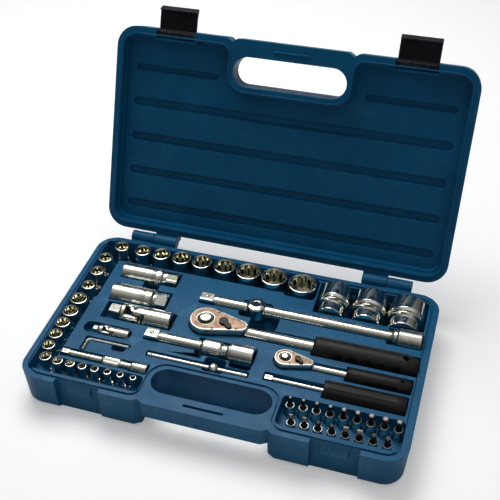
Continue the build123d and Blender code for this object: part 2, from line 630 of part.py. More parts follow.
def catch_boss(x):
    """Wedge that the latch snaps under."""
    back = CASE_FRONT + LATCH_RECESS_D + 1
    front = CASE_FRONT + 4.4
    profile = Polyline((back, CATCH_Z), (front, CATCH_Z), (front, CATCH_Z + 5), (back - 1, BASE_H - 3.0),
                       (back, BASE_H - 3.0), close=True)
    wedge = extrude(make_face(Plane.YZ * profile), 14, both=True)
    return Pos(x, 0, 0) * wedge


def case_base():
    shell = Pos(0, 0, BASE_H) * extrude(case_outline(), -BASE_H, taper=DRAFT_DEG)
    shell = fillet(shell.faces().sort_by(Axis.Z)[0].outer_wire().edges(), FOOT_R)
    cuts = [under_handle(-1, BASE_H - HANDLE_T), hand_slot(-1, BASE_H + 1)]
    cuts.append(prism(seam_outline(SEAM_W / 2) - seam_outline(-SEAM_W / 2), BASE_H - SEAM_D, BASE_H + 1))
    cuts.append(Pos(0, SNAP_Y, BASE_H - 2) * Box(SNAP_W, 3.0, 6))
    cuts += socket_trenches() + lying_wells() + tool_wells() + bit_well()
    cuts += ratchet_wells(HALF_RATCHET) + ratchet_wells(QUARTER_RATCHET)
    cuts.append(channel(SPINNER_X0, SPINNER_GRIP_X + 1, SPINNER_Y, SPINNER_Z, 4.8))
    cuts.append(channel(SPINNER_GRIP_X, SPINNER_X1, SPINNER_Y, SPINNER_Z, SPINNER_GRIP_R))
    cuts += [latch_recess(side * LATCH_X) for side in (-1, 1)]
    for x0, x1 in hinge_spans(True):
        cuts.append(rod(x0 - 0.6, x1 + 0.6, HINGE_Y, HINGE_Z, HINGE_BOSS_R + 0.6))
    shell = shell - cuts
    shell = shell + [catch_boss(side * LATCH_X) for side in (-1, 1)]
    for x0, x1 in hinge_spans(False):
        boss = hinge_boss(x0, x1, -7.0, 13.0)
        shell = shell + boss
    for pin in hinge_pins():
        shell = shell - pin_hole(pin)
    return shell


def pin_hole(pin):
    """Hole for a hinge pin."""
    box = pin.bounding_box()
    return rod(box.min.X - 0.1, box.max.X + 0.1, HINGE_Y, HINGE_Z, HINGE_PIN_R + PIN_CLEAR)


RIM_Z = BASE_H + SEAM_GAP
RIB_Y = (-76.0, -35.3, 7.0, 49.0, 91.0)     # the five grooves pressed into the lid's panel


def lid_grooves():
    """Five long grooves; the front one is parted by the hand slot."""
    grooves = []
    for k, y in enumerate(RIB_Y):
        half = 4.0 if k == 0 else 5.4
        spans = ((-188, -86), (86, 188)) if k == 0 else ((-189, 189),)
        for x0, x1 in spans:
            grooves.append(prism(stadium(x0, x1, y - half, y + half), PANEL_Z - 1, PANEL_Z + 4.0))
    return grooves


def lid_recess():
    """Room above the tools: a straight step beside the tallest of them, then a drafted one up to the panel."""
    step = RIM_Z + RECESS_STEP
    lower = prism(seam_outline(-RECESS_INSET), RIM_Z - 1, step)
    upper = Pos(0, 0, step - 1) * extrude(seam_outline(-RECESS_INSET - 2), PANEL_Z - step + 1, taper=8)
    for side in (-1, 1):
        housing = Pos(side * LATCH_X, LATCH_HOUSING_Y - 10, RIM_Z + 13) * Box(LATCH_RECESS_W + 4, 20, 20)
        lower -= housing
        upper -= housing
    return [lower, upper]


def case_lid():
    """Lid as it lies when shut; it is turned open afterwards."""
    shell = Pos(0, 0, RIM_Z) * extrude(case_outline(), LID_H, taper=DRAFT_DEG)
    shell = fillet(shell.faces().sort_by(Axis.Z)[-1].outer_wire().edges(), FOOT_R)
    cuts = [under_handle(RIM_Z + HANDLE_T, RIM_Z + LID_H + 1), hand_slot(RIM_Z - 1, RIM_Z + LID_H + 1)]
    cuts += lid_recess()
    cuts += lid_grooves()
    for side in (-1, 1):
        cuts.append(Pos(side * LATCH_X, CASE_FRONT + 2.8, RIM_Z + 7.4) * Box(LATCH_W + 1.6, 17.5, 17.0))
        cuts.append(rod(side * LATCH_X - 28, side * LATCH_X + 28, LATCH_PIVOT_Y, LATCH_PIVOT_Z,
                        LATCH_PIN_R + PIN_CLEAR))
    for x0, x1 in hinge_spans(False):
        cuts.append(rod(x0 - 0.6, x1 + 0.6, HINGE_Y, HINGE_Z, HINGE_BOSS_R + 0.6))
    shell = shell - cuts
    tongue = prism(seam_outline(0.7) - seam_outline(-0.7), RIM_Z - 1.8, RIM_Z + 1)
    shell = shell + tongue
    shell = shell + Pos(0, SNAP_Y, RIM_Z - 0.4) * Box(SNAP_W - 3, 1.8, 2.8)
    for x0, x1 in hinge_spans(True):
        shell = shell + hinge_boss(x0, x1, 7.2, 13.0)
    for pin in hinge_pins():
        shell = shell - pin_hole(pin)
    return shell


def latch(x):
    """Snap latch as it sits when shut: plate, hook, finger lip and pivot ears."""
    y = LATCH_PIVOT_Y
    z = LATCH_PIVOT_Z
    profile = Polyline(
        (y + 2.6, z + 2.4), (y - 1.2, z + 4.6), (y - 4.6, z + 3.2), (y - 4.9, z - 20), (y - 8.2, z - 29.5),
        (y - 6.4, z - 30.2), (y - 2.4, z - 28.4), (y + 0.6, z - 27.4), (y + 0.6, z - 25.7), (y - 2.2, z - 25.7),
        (y - 2.2, z - 4), (y + 2.6, z - 2.4), close=True)
    plate = extrude(make_face(Plane.YZ * profile), LATCH_W / 2, both=True)
    pivot = rod(-LATCH_W / 2 - 5, LATCH_W / 2 + 5, y, z, LATCH_PIN_R)
    window = Pos(0, y - 4.6, z - 12) * Box(LATCH_W - 12, 2.4, 12)
    return Pos(x, 0, 0) * (plate + pivot - window)


def open_lid(shape):
    """Turn from shut to the standing-open position about the hinge."""
    axis = Axis((0, HINGE_Y, HINGE_Z), (1, 0, 0))
    return shape.rotate(axis, -LID_OPEN_DEG)


def open_latch(shape):
    axis = Axis((0, LATCH_PIVOT_Y, LATCH_PIVOT_Z), (1, 0, 0))
    return open_lid(shape.rotate(axis, -90))


# ---------------------------------------------------------------- export

def label(size):
    return str(size).replace(".", "_")


def export_all():
    os.makedirs("parts", exist_ok=True)
    parts = {"case_base": case_base(), "case_lid": open_lid(case_lid()),
             "latch_left": open_latch(latch(-LATCH_X)), "latch_right": open_latch(latch(LATCH_X)),
             "hinge_pins": Compound(hinge_pins())}
    for size, r, x, y in HALF_UPRIGHT:
        parts[f"half_socket_{size}"] = Pos(x, y, HALF_FLOOR + REST_GAP) * half_socket(size, r)
    for size, r, x in HALF_LYING:
        stood = lying_socket(size, r)
        parts[f"half_socket_{size}"] = Pos(x, LYING_FRONT, LYING_TOP - r) * Rot(-90, 0, 0) * stood
    for size, r, x, y in QUARTER_COLUMN + QUARTER_ROW:
        parts[f"quarter_socket_{label(size)}"] = Pos(x, y, QUARTER_FLOOR + REST_GAP) * quarter_socket(size, r)
    parts["quarter_sockets_4_to_5"] = Compound(
        [Pos(x, y, QUARTER_FLOOR + REST_GAP) * quarter_socket(size, r) for size, r, x, y in QUARTER_TINY])
    for size, r, x0, x1, y, z in SPARK_SOCKETS:
        parts[f"spark_plug_socket_{size}"] = spark_plug_socket(size, r, x0, x1, y, z)
    half_joint = universal_joint(12.0, HALF_SQ, UJH_X, UJH_Y, UJH_Z, 13.0, 13.0, 14.5, 29.0)
    quarter_joint = universal_joint(6.2, QUARTER_SQ, UJQ_X, UJQ_Y, UJQ_Z, 7.5, 7.5, 6.5, 16.5)
    for kind, joint in (("half", half_joint), ("quarter", quarter_joint)):
        for name, part in zip(("male_yoke", "cross", "female_yoke"), joint):
            parts[f"{kind}_joint_{name}"] = part
    parts["hex_key"] = hex_key()
    parts["quarter_extension"] = quarter_extension()
    parts["half_short_extension"] = half_short_extension()
    parts["half_long_extension"] = half_long_extension()
    parts["half_t_slider"] = half_t_slider()
    parts["quarter_t_rod"] = quarter_t_rod()
    parts["quarter_t_slider"] = quarter_t_slider()
    for kind, d in (("half", HALF_RATCHET), ("quarter", QUARTER_RATCHET)):
        parts[f"{kind}_ratchet_body"] = ratchet_body(d)
        parts[f"{kind}_ratchet_grip"] = ratchet_grip(d)
        parts[f"{kind}_ratchet_drive"] = ratchet_drive(d)
        parts[f"{kind}_ratchet_button"] = ratchet_button(d)
        parts[f"{kind}_ratchet_lever"] = ratchet_lever(d)
    parts["spinner_shaft"] = spinner_shaft()
    parts["spinner_grip"] = spinner_grip()
    parts["bit_sockets"] = Compound([Pos(x, y, 0) * bit_holder() for x, y in bit_places()])
    parts["bits"] = Compound([Pos(x, y, 0) * bit_blade(k % 6) for k, (x, y) in enumerate(bit_places())])
    for name, shape in parts.items():
        export_step(shape, f"parts/{name}.step")


export_all()
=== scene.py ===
import json
import math

import bmesh
import bpy
import numpy
from bpy.props import FloatProperty, FloatVectorProperty, IntProperty, PointerProperty
from mathutils.geometry import delaunay_2d_cdt
from mathutils import Matrix, Vector


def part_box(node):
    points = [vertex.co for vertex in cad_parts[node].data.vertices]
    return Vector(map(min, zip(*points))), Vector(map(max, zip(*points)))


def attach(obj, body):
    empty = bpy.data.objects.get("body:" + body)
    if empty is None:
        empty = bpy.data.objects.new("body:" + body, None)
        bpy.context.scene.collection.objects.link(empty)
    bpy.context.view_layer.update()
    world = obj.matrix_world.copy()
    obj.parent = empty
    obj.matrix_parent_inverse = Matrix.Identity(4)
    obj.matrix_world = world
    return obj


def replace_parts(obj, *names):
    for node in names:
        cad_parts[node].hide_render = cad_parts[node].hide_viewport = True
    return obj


bl_info = {
    "name": "Socket wrench set in case",
    "version": (1, 0, 0),
    "blender": (4, 5, 0),
    "location": "View3D > Sidebar > Socket set",
    "description": "Builds the looks of a socket wrench set in its hinged carrying case",
    "category": "Object",
}

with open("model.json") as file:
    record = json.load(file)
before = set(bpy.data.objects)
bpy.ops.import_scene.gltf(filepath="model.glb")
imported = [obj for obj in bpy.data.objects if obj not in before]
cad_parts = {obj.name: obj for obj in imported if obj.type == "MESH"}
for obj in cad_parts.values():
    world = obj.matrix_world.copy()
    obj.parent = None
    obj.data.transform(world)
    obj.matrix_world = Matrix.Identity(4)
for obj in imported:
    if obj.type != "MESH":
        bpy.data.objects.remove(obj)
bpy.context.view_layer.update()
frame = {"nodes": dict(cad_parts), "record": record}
MM = 0.001
RING_SIDES = 72             # sides of a turned ring: a multiple of 24, so every wrench shape meets its corners
HALF_DRIVE = 12.7           # 1/2 inch square, in millimetres
QUARTER_DRIVE = 6.35        # 1/4 inch square, in millimetres
ROD_SIDES = 48              # sides of the bits and of the small T bar
PIN_SIDES = 24              # sides of pins and screws
LYING_MOUTH = 23.0          # depth of the large sockets' mouths, in millimetres
DRIVE_PLAY = 0.15           # how much wider a square hole is than the drive
T_SLIDER_EDGES = {"half": 0.00025, "quarter": 0.00015}     # edge roundings, in metres
JOINT_EDGES = {"half": 0.0003, "quarter": 0.00015}
KEY_EDGE = 0.0002
RATCHET_EDGES = {"drive": 0.0005, "lever": 0.0005, "grip": 0.0004}
PLATE_MARGIN = 0.0009       # rim round a ratchet's face plate, in metres
PLATE_SINK = 0.0003         # how far the face plate lies below its rim, in metres
FLAT_COSINE = 0.99999       # faces whose normals agree this well may share a plane
FLAT_GAP = 3e-6             # how far, in metres, a corner may stand off that plane
FLAT_MERGE = 1e-8           # corners closer than this, in metres, become one


# ---- settings

def colour(name, description, value):
    return FloatVectorProperty(name=name, description=description, default=value, size=3, subtype="COLOR",
                               min=0.0, max=1.0)


def length(name, description, value, high=0.01):
    return FloatProperty(name=name, description=description, default=value, min=0.00001, max=high,
                         subtype="DISTANCE", unit="LENGTH", precision=5)


class SocketSetCase(bpy.types.PropertyGroup):
    """Sizes and colours of the case mouldings"""

    plastic: colour("Case plastic", "Main tone of the case's polyethylene", (0.004, 0.104, 0.235))
    shade: colour("Case plastic shade", "Darker tone of the pigment's cloudy variation", (0.002, 0.084, 0.195))
    scuff: colour("Scuffed plastic", "Tone of edges that have rubbed pale", (0.030, 0.190, 0.340))
    latch: colour("Latch plastic", "Main tone of the snap latches", (0.010, 0.009, 0.014))
    rounding: length("Edge rounding", "Radius of the moulded edges of pockets and rims", 0.0004)
    latch_rounding: length("Latch rounding", "Radius of the latches' edges", 0.0006)
    segments: IntProperty(name="Rounding steps", description="Faces across each rounded edge", default=2, min=1,
                          max=6)


class SocketSetTools(bpy.types.PropertyGroup):
    """Sizes and colours of the tools"""

    chrome: colour("Chrome", "Reflection of polished chrome plate", (0.82, 0.81, 0.75))
    satin: colour("Satin chrome", "Reflection of satin chrome plate", (0.70, 0.69, 0.62))
    warm: colour("Warm plate", "Reflection of the brushed, copper-tinted faces", (0.40, 0.26, 0.18))
    bore: colour("Socket bore", "Reflection inside the sockets' mouths", (0.90, 0.88, 0.73))
    bit: colour("Bit steel", "Reflection of the dark phosphated bits", (0.055, 0.058, 0.055))
    tip: colour("Bit tip", "Tone of the bits' pale, bare ends", (0.50, 0.44, 0.37))
    grip: colour("Grip rubber", "Main tone of the handles' grips", (0.014, 0.015, 0.013))
    knurl: length("Knurl depth", "Height of the ridges of a knurled band", 0.00025, 0.001)
    edge: length("Tool edge rounding", "Radius of the forged tools' edges", 0.0004)


class SocketSetStage(bpy.types.PropertyGroup):
    """Floor, lights and camera"""

    floor: colour("Floor", "Tone of the pale floor", (0.93, 0.93, 0.93))
    floor_lift: FloatProperty(name="Floor lift", description="Extra brightness that the camera sees on the floor",
                              default=0.3, min=0.0, max=2.0)
    key_power: FloatProperty(name="Key light", description="Power of the soft light above and behind the case",
                             default=13.0, min=0.0, max=1000.0, subtype="POWER", unit="POWER")
    fill_power: FloatProperty(name="Fill light", description="Power of the weak light at the front", default=0.8,
                              min=0.0, max=1000.0, subtype="POWER", unit="POWER")
    lens: FloatProperty(name="Lens", description="Focal length, for a 36 mm wide sensor", default=67.0, min=10.0,
                        max=300.0, subtype="DISTANCE_CAMERA")


def case_settings():
    return bpy.context.scene.socket_set_case


def tool_settings():
    return bpy.context.scene.socket_set_tools


def stage_settings():
    return bpy.context.scene.socket_set_stage


# ---- the frame's measures

def body_of(node):
    for body, members in frame["record"]["behaviour"]["bodies"].items():
        if node in members:
            return body
    raise RuntimeError(f"node {node} is on no body")


def merged_copy(node):
    """The CAD node's mesh with its loose triangles joined."""
    bm = bmesh.new()
    bm.from_mesh(frame["nodes"][node].data)
    bmesh.ops.remove_doubles(bm, verts=bm.verts, dist=2e-6)
    bmesh.ops.dissolve_degenerate(bm, edges=bm.edges, dist=1e-6)
    return bm


def island_boxes(node):
    """Lowest and highest corner of each separate solid of a node, from left to right."""
    bm = merged_copy(node)
    boxes = []
    left = set(bm.verts)
    while left:
        reached = {left.pop()}
        front = list(reached)
        while front:
            for edge in front.pop().link_edges:
                for vert in edge.verts:
                    if vert in left:
                        left.discard(vert)
                        reached.add(vert)
                        front.append(vert)
        places = [v.co for v in reached]
        boxes.append((Vector([min(p[k] for p in places) for k in range(3)]),
                      Vector([max(p[k] for p in places) for k in range(3)])))
    bm.free()
    return sorted(boxes, key=lambda b: (b[0].x, b[0].y))


def middle_of(low, high):
    return [(a + b) / 2 for a, b in zip(low, high)]


def top_radius(node, low, high, depth=0.002):
    """Radius of the upright solid inside a box, measured just below its top."""
    middle = (low + high) / 2
    found = [math.hypot(v.co.x - middle.x, v.co.y - middle.y) for v in frame["nodes"][node].data.vertices
             if v.co.z > high.z - depth and low.x - MM < v.co.x < high.x + MM]
    return max(found)


# ---- mesh helpers

def finish_piece(bm, name, finishes, node, smooth_deg=32.0, turn_out=True):
    """Write a bmesh as a piece at the origin, in its materials, tied to the CAD node that it belongs to."""
    bmesh.ops.remove_doubles(bm, verts=bm.verts, dist=1e-6)
    if turn_out:
        bmesh.ops.recalc_face_normals(bm, faces=bm.faces)
    mesh = bpy.data.meshes.new(name)
    bm.to_mesh(mesh)
    bm.free()
    for finish in finishes:
        mesh.materials.append(material(finish))
    shade_by_area(mesh, smooth_deg)
    piece = bpy.data.objects.new(name, mesh)
    bpy.context.scene.collection.objects.link(piece)
    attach(piece, body_of(node))
    return piece


def stand_in(bm, node, *finishes):
    """Finish a bmesh as the piece that takes a CAD node's place."""
    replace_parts(finish_piece(bm, f"{node}_finished", finishes, node), node)


def join(target, source):
    """Add one bmesh to another and free it."""
    mesh = bpy.data.meshes.new("joining")
    source.to_mesh(mesh)
    source.free()
    target.from_mesh(mesh)
    bpy.data.meshes.remove(mesh)


def flat_regions(bm):
    """Groups of touching faces that lie in one plane and need new triangles."""
    seen = set()
    for first in sorted(bm.faces, key=lambda f: -f.calc_area()):
        if first in seen:
            continue
        normal, centre = first.normal.copy(), first.calc_center_median()
        seen.add(first)
        region, front = [first], [first]
        while front:
            for edge in front.pop().edges:
                for face in edge.link_faces:
                    if face in seen or abs(face.normal.dot(normal)) < FLAT_COSINE:
                        continue
                    if max(abs((v.co - centre).dot(normal)) for v in face.verts) < FLAT_GAP:
                        seen.add(face)
                        region.append(face)
                        front.append(face)
        if len(region) > 1 or len(first.verts) > 4:
            yield region, normal


def within_rim(places, triangles, rim_places, rim):
    """The triangles whose middle lies inside the rim, counting the rim's crossings."""
    places, rim_places = numpy.array(places), numpy.array(rim_places)
    middles = places[numpy.array(triangles)].mean(axis=1)
    start, end = (rim_places[[edge[k] for edge in rim]] for k in (0, 1))
    x, y = middles[:, :1], middles[:, 1:]
    spans = (start[:, 1] > y) != (end[:, 1] > y)
    rise = numpy.where(end[:, 1] == start[:, 1], 1.0, end[:, 1] - start[:, 1])
    left = x < (end[:, 0] - start[:, 0]) * (y - start[:, 1]) / rise + start[:, 0]
    odd = (spans & left).sum(axis=1) % 2 == 1
    return [triangle for triangle, inside in zip(triangles, odd) if inside]


def fill_flats(bm):
    """Fill each flat region again inside its outline, around its holes."""
    for region, normal in list(flat_regions(bm)):
        inside = set(region)
        rim = [e for f in region for e in f.edges if sum(g in inside for g in e.link_faces) == 1]
        verts = list(dict.fromkeys(v for e in rim for v in e.verts))
        where = {v: k for k, v in enumerate(verts)}
        across = normal.orthogonal().normalized()
        along = normal.cross(across)
        flat = [Vector((v.co.dot(across), v.co.dot(along))) for v in verts]
        loops = [tuple(where[v] for v in e.verts) for e in rim]
        places, _, triangles, sources, _, _ = delaunay_2d_cdt(flat, loops, [], 0, FLAT_MERGE)
        kept = within_rim(places, triangles, flat, loops)
        height = verts[0].co.dot(normal)
        corners = [verts[found[0]] if found else bm.verts.new(across * place.x + along * place.y + normal * height)
                   for place, found in zip(places, sources)]
        slot = region[0].material_index
        bmesh.ops.delete(bm, geom=region, context="FACES_KEEP_BOUNDARY")
        for triangle in kept:
            ends = [corners[k] for k in triangle]
            if all(v.is_valid for v in ends) and not bm.faces.get(ends):
                bm.faces.new(ends).material_index = slot
    bmesh.ops.delete(bm, geom=[v for v in bm.verts if not v.link_faces], context="VERTS")
    bm.normal_update()


def shade_by_area(mesh, smooth_deg):
    """Blend the normals round each corner by face area, so that flats stay flat beside their rounded edges."""
    limit = math.cos(math.radians(smooth_deg))
    around = {}
    for face in mesh.polygons:
        for vert in face.vertices:
            around.setdefault(vert, []).append((face.normal.copy(), face.area))
    normals = []
    for face in mesh.polygons:
        for vert in face.vertices:
            blend = Vector()
            for normal, area in around[vert]:
                if normal.dot(face.normal) > limit:
                    blend += normal * area
            normals.append(blend.normalized() if blend.length > 0 else face.normal)
    mesh.shade_smooth()
    mesh.normals_split_custom_set(normals)


def round_edges(bm, width, segments, sharp_deg=32.0):
    """Melt flat faces together and round every edge sharper than an angle."""
    bmesh.ops.dissolve_limit(bm, angle_limit=math.radians(1.0), verts=bm.verts, edges=bm.edges)
    sharp = [e for e in bm.edges
             if len(e.link_faces) == 2 and e.calc_face_angle(0.0) > math.radians(sharp_deg)]
    bmesh.ops.bevel(bm, geom=sharp, offset=width, segments=segments, profile=0.5, affect="EDGES",
                    clamp_overlap=False, material=-1, loop_slide=True)
    fill_flats(bm)


def rounded_piece(node, finishes, width, segments=2, change=None):
    """A copy of a CAD node with softened edges, which takes the node's place."""
    bm = merged_copy(node)
    round_edges(bm, width, segments)
    if change:
        change(bm)
    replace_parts(finish_piece(bm, f"{node}_finished", finishes, node, smooth_deg=38.0, turn_out=False), node)


def ring_radius(kind, size, angle, odd):
    """Distance from the axis to a ring of some kind, in millimetres. Size is a radius, or the width across flats."""
    if callable(kind):
        return kind(size, angle)
    if kind == "round":
        return size
    if kind == "knurl":
        return size - odd * tool_settings().knurl / MM
    if kind == "square":
        c, s = abs(math.cos(angle)), abs(math.sin(angle))
        return size / 2 / (c ** 16 + s ** 16) ** (1 / 16)
    turns = {"hex": (0,), "twelve": (0, 30)}[kind]
    across = [(math.degrees(angle) + turn) % 60 - 30 for turn in turns]
    return max(size / 2 / math.cos(math.radians(a)) for a in across)


def full_ring(ring):
    """A ring with its kind and material filled in."""
    whole = ring if isinstance(ring[0], str) or callable(ring[0]) else ("round", *ring)
    return whole if len(whole) == 4 else (*whole, 0)


def shape_ring(verts, ring, sides):
    """Move a circle's vertices out to a ring's outline, each along its own spoke."""
    kind, size, height = ring[:3]
    for v in verts:
        k = round(math.atan2(v.co.y, v.co.x) / (2 * math.pi) * sides)
        angle = 2 * math.pi * k / sides
        r = ring_radius(kind, size, angle, k % 2) * MM
        v.co = (r * math.cos(angle), r * math.sin(angle), height * MM)


def ring_stack(rings, place=None, capped=False, sides=RING_SIDES):
    """Grow a skin about the Z axis from rings of (kind, size, height, material).

    A ring without a kind is round, and one without a material takes the first.
    A capped stack is filled at both ends. Otherwise its last ring is joined to its first.
    """
    rings = [full_ring(ring) for ring in rings]
    bm = bmesh.new()
    verts = bmesh.ops.create_circle(bm, cap_ends=False, radius=1.0, segments=sides)["verts"]
    first = loop = list(bm.edges)
    shape_ring(verts, rings[0], sides)
    for ring in rings[1:]:
        grown = bmesh.ops.extrude_edge_only(bm, edges=loop)["geom"]
        verts = {g for g in grown if isinstance(g, bmesh.types.BMVert)}
        loop = [g for g in grown if isinstance(g, bmesh.types.BMEdge) and set(g.verts) <= verts]
        shape_ring(verts, ring, sides)
        for face in grown:
            if isinstance(face, bmesh.types.BMFace):
                face.material_index = ring[3]
    if capped:
        bmesh.ops.holes_fill(bm, edges=loop, sides=0)
        bmesh.ops.holes_fill(bm, edges=first, sides=0)
    else:
        bmesh.ops.bridge_loops(bm, edges=first + loop)
    bmesh.ops.transform(bm, matrix=place or Matrix.Identity(4), verts=bm.verts)
    return bm


def arc_rings(r0, z0, r1, z1, steps, bulge=0.5):
    """Round rings along a soft S from one radius and height to another."""
    rings = []
    for k in range(steps + 1):
        t = k / steps
        eased = t * t * (3 - 2 * t)
        rings.append((r0 + (r1 - r0) * (eased * bulge + t * (1 - bulge)), z0 + (z1 - z0) * t))
    return rings


def at(x, y, z):
    return Matrix.Translation((x, y, z))


def along_x(x, y, z):
    """Place for a stack that runs along +X from a point."""
    return at(x, y, z) @ Matrix.Rotation(math.radians(90), 4, "Y")


def along_y(x, y, z):
    """Place for a stack that runs along +Y from a point."""
    return at(x, y, z) @ Matrix.Rotation(math.radians(-90), 4, "X")


def add_ball(bm, centre, radius, squash=1.0):
    """Spring ball that stands a little out of a face."""
    made = bmesh.ops.create_uvsphere(bm, u_segments=24, v_segments=12, radius=radius)
    bmesh.ops.scale(bm, vec=(1, 1, squash), verts=made["verts"])
    bmesh.ops.translate(bm, vec=centre, verts=made["verts"])


# ---- shader groups

def put(tree, kind, inputs=None, **attributes):
    """Add a node, set its attributes, and set or link its inputs."""
    node = tree.nodes.new(kind)
    for key, value in attributes.items():
        setattr(node, key, value)
    for key, value in (inputs or {}).items():
        if isinstance(value, bpy.types.NodeSocket):
            tree.links.new(value, node.inputs[key])
        else:
            node.inputs[key].default_value = value
    return node


def new_group(name, inputs, outputs):
    """Empty node group with (name, kind, default) inputs and (name, kind) outputs."""
    group = bpy.data.node_groups.new(name, "ShaderNodeTree")
    for label, kind, value in inputs:
        socket = group.interface.new_socket(name=label, in_out="INPUT", socket_type=kind)
        socket.default_value = value
    for label, kind in outputs:
        group.interface.new_socket(name=label, in_out="OUTPUT", socket_type=kind)
    return group, put(group, "NodeGroupInput").outputs, put(group, "NodeGroupOutput").inputs


def noise(tree, size, settings, where=None):
    """Noise with features of a given size, on Object coordinates unless other ones are given."""
    where = where or put(tree, "ShaderNodeTexCoord").outputs["Object"]
    scale = put(tree, "ShaderNodeMath", {0: 1.0, 1: size}, operation="DIVIDE").outputs[0]
    return put(tree, "ShaderNodeTexNoise", {"Vector": where, "Scale": scale, **settings}).outputs["Fac"]


def clouding_group():
    """Colour that drifts between two tones: pigment in a moulding, tarnish on plate, and painted reflection on the
    warm face plates.
    """
    group, given, out = new_group(
        "Clouding", [("Tone", "NodeSocketColor", (0.5, 0.5, 0.5, 1)),
                     ("Shade", "NodeSocketColor", (0.3, 0.3, 0.3, 1)),
                     ("Patch Size", "NodeSocketFloat", 0.03)], [("Color", "NodeSocketColor")])
    drift = noise(group, given["Patch Size"], {"Detail": 4.0, "Roughness": 0.6})
    spread = put(group, "ShaderNodeMapRange", {"Value": drift, "From Min": 0.35, "From Max": 0.65})
    mix = put(group, "ShaderNodeMix", {0: spread.outputs[0], 6: given["Shade"], 7: given["Tone"]}, data_type="RGBA")
    group.links.new(mix.outputs[2], out["Color"])
    return group


def grain_group():
    """Height of a moulded skin: fine pebbling over a slow waviness."""
    group, given, out = new_group(
        "Moulded grain", [("Grain Size", "NodeSocketFloat", 0.0006), ("Wave Size", "NodeSocketFloat", 0.02),
                          ("Waviness", "NodeSocketFloat", 0.5)], [("Height", "NodeSocketFloat")])
    fine = noise(group, given["Grain Size"], {"Detail": 2.0})
    slow = noise(group, given["Wave Size"], {"Detail": 1.0})
    waves = put(group, "ShaderNodeMath", {0: slow, 1: given["Waviness"], 2: fine}, operation="MULTIPLY_ADD")
    group.links.new(waves.outputs[0], out["Height"])
    return group


def handling_group():
    """Roughness that varies with smudges and thin wipe marks."""
    group, given, out = new_group(
        "Handling marks", [("Polished", "NodeSocketFloat", 0.1), ("Dulled", "NodeSocketFloat", 0.25),
                           ("Mark Size", "NodeSocketFloat", 0.012)], [("Roughness", "NodeSocketFloat")])
    smudge = noise(group, given["Mark Size"], {"Detail": 6.0, "Roughness": 0.65, "Distortion": 0.8})
    mask = put(group, "ShaderNodeMapRange", {"Value": smudge, "From Min": 0.38, "From Max": 0.68,
                                             "To Min": given["Polished"], "To Max": given["Dulled"]})
    group.links.new(mask.outputs[0], out["Roughness"])
    return group


def turning_group():
    """Height of fine machining lines that run across a given direction, broken up along their length."""
    group, given, out = new_group(
        "Turning lines", [("Across", "NodeSocketVector", (1, 0.05, 0.05)), ("Line Size", "NodeSocketFloat", 0.0003)],
        [("Height", "NodeSocketFloat")])
    where = put(group, "ShaderNodeTexCoord").outputs["Object"]
    drawn = put(group, "ShaderNodeVectorMath", {0: where, 1: given["Across"]}, operation="MULTIPLY")
    lines = noise(group, given["Line Size"], {"Detail": 3.0, "Roughness": 0.7}, drawn.outputs[0])
    group.links.new(lines, out["Height"])
    return group


def wear_group():
    """Mask of the rubbed edges: where the surface turns outwards sharply, broken up by noise."""
    group, given, out = new_group(
        "Edge wear", [("Start", "NodeSocketFloat", 0.53), ("Full", "NodeSocketFloat", 0.62),
                      ("Patch Size", "NodeSocketFloat", 0.006)], [("Mask", "NodeSocketFloat")])
    turn = put(group, "ShaderNodeNewGeometry").outputs["Pointiness"]
    edge = put(group, "ShaderNodeMapRange", {"Value": turn, "From Min": given["Start"], "From Max": given["Full"]})
    broken = noise(group, given["Patch Size"], {"Detail": 4.0})
    patches = put(group, "ShaderNodeMapRange", {"Value": broken, "From Min": 0.35, "From Max": 0.7})
    both = put(group, "ShaderNodeMath", {0: edge.outputs[0], 1: patches.outputs[0]}, operation="MULTIPLY")
    group.links.new(both.outputs[0], out["Mask"])
    return group


GROUP_MAKERS = {"Clouding": clouding_group, "Moulded grain": grain_group, "Handling marks": handling_group,
                "Turning lines": turning_group, "Edge wear": wear_group}


def group_node(tree, name, inputs):
    """Place a shared effect in a material, with that material's own values."""
    group = bpy.data.node_groups.get(name) or GROUP_MAKERS[name]()
    node = tree.nodes.new("ShaderNodeGroup")
    node.node_tree = group
    for key, value in inputs.items():
        node.inputs[key].default_value = value
    return node


# ---- materials

def rgba(colour_value, dim=1.0):
    return (*[c * dim for c in colour_value], 1.0)


def start_material(name, settings):
    """New material with its shader's steady values set; returns it with its tree and shader."""
    material = bpy.data.materials.new(name)
    material.use_nodes = True
    tree = material.node_tree
    shader = tree.nodes["Principled BSDF"]
    for key, value in settings.items():
        shader.inputs[key].default_value = value
    return material, tree, shader


def bump_into(tree, shader, height, distance, strength=1.0):
    bump = put(tree, "ShaderNodeBump", {"Strength": strength, "Distance": distance, "Height": height})
    tree.links.new(bump.outputs["Normal"], shader.inputs["Normal"])


def plastic_material(name, tone, shade, scuff, rough, grain, wave, relief):
    """Moulded plastic with cloudy pigment, pebbled skin and edges rubbed pale."""
    material, tree, shader = start_material(name, {"IOR": 1.49, "Specular IOR Level": 0.22})
    cloud = group_node(tree, "Clouding", {"Tone": rgba(tone), "Shade": rgba(shade), "Patch Size": 0.045})
    wear = group_node(tree, "Edge wear", {"Start": 0.52, "Full": 0.60, "Patch Size": 0.005})
    mix = put(tree, "ShaderNodeMix", {0: wear.outputs["Mask"], 6: cloud.outputs["Color"], 7: rgba(scuff)},
              data_type="RGBA")
    tree.links.new(mix.outputs[2], shader.inputs["Base Color"])
    marks = group_node(tree, "Handling marks", {"Polished": rough[0], "Dulled": rough[1], "Mark Size": 0.02})
    tree.links.new(marks.outputs["Roughness"], shader.inputs["Roughness"])
    skin = group_node(tree, "Moulded grain", {"Grain Size": grain, "Wave Size": wave, "Waviness": 2.5})
    bump_into(tree, shader, skin.outputs["Height"], relief)
    return material


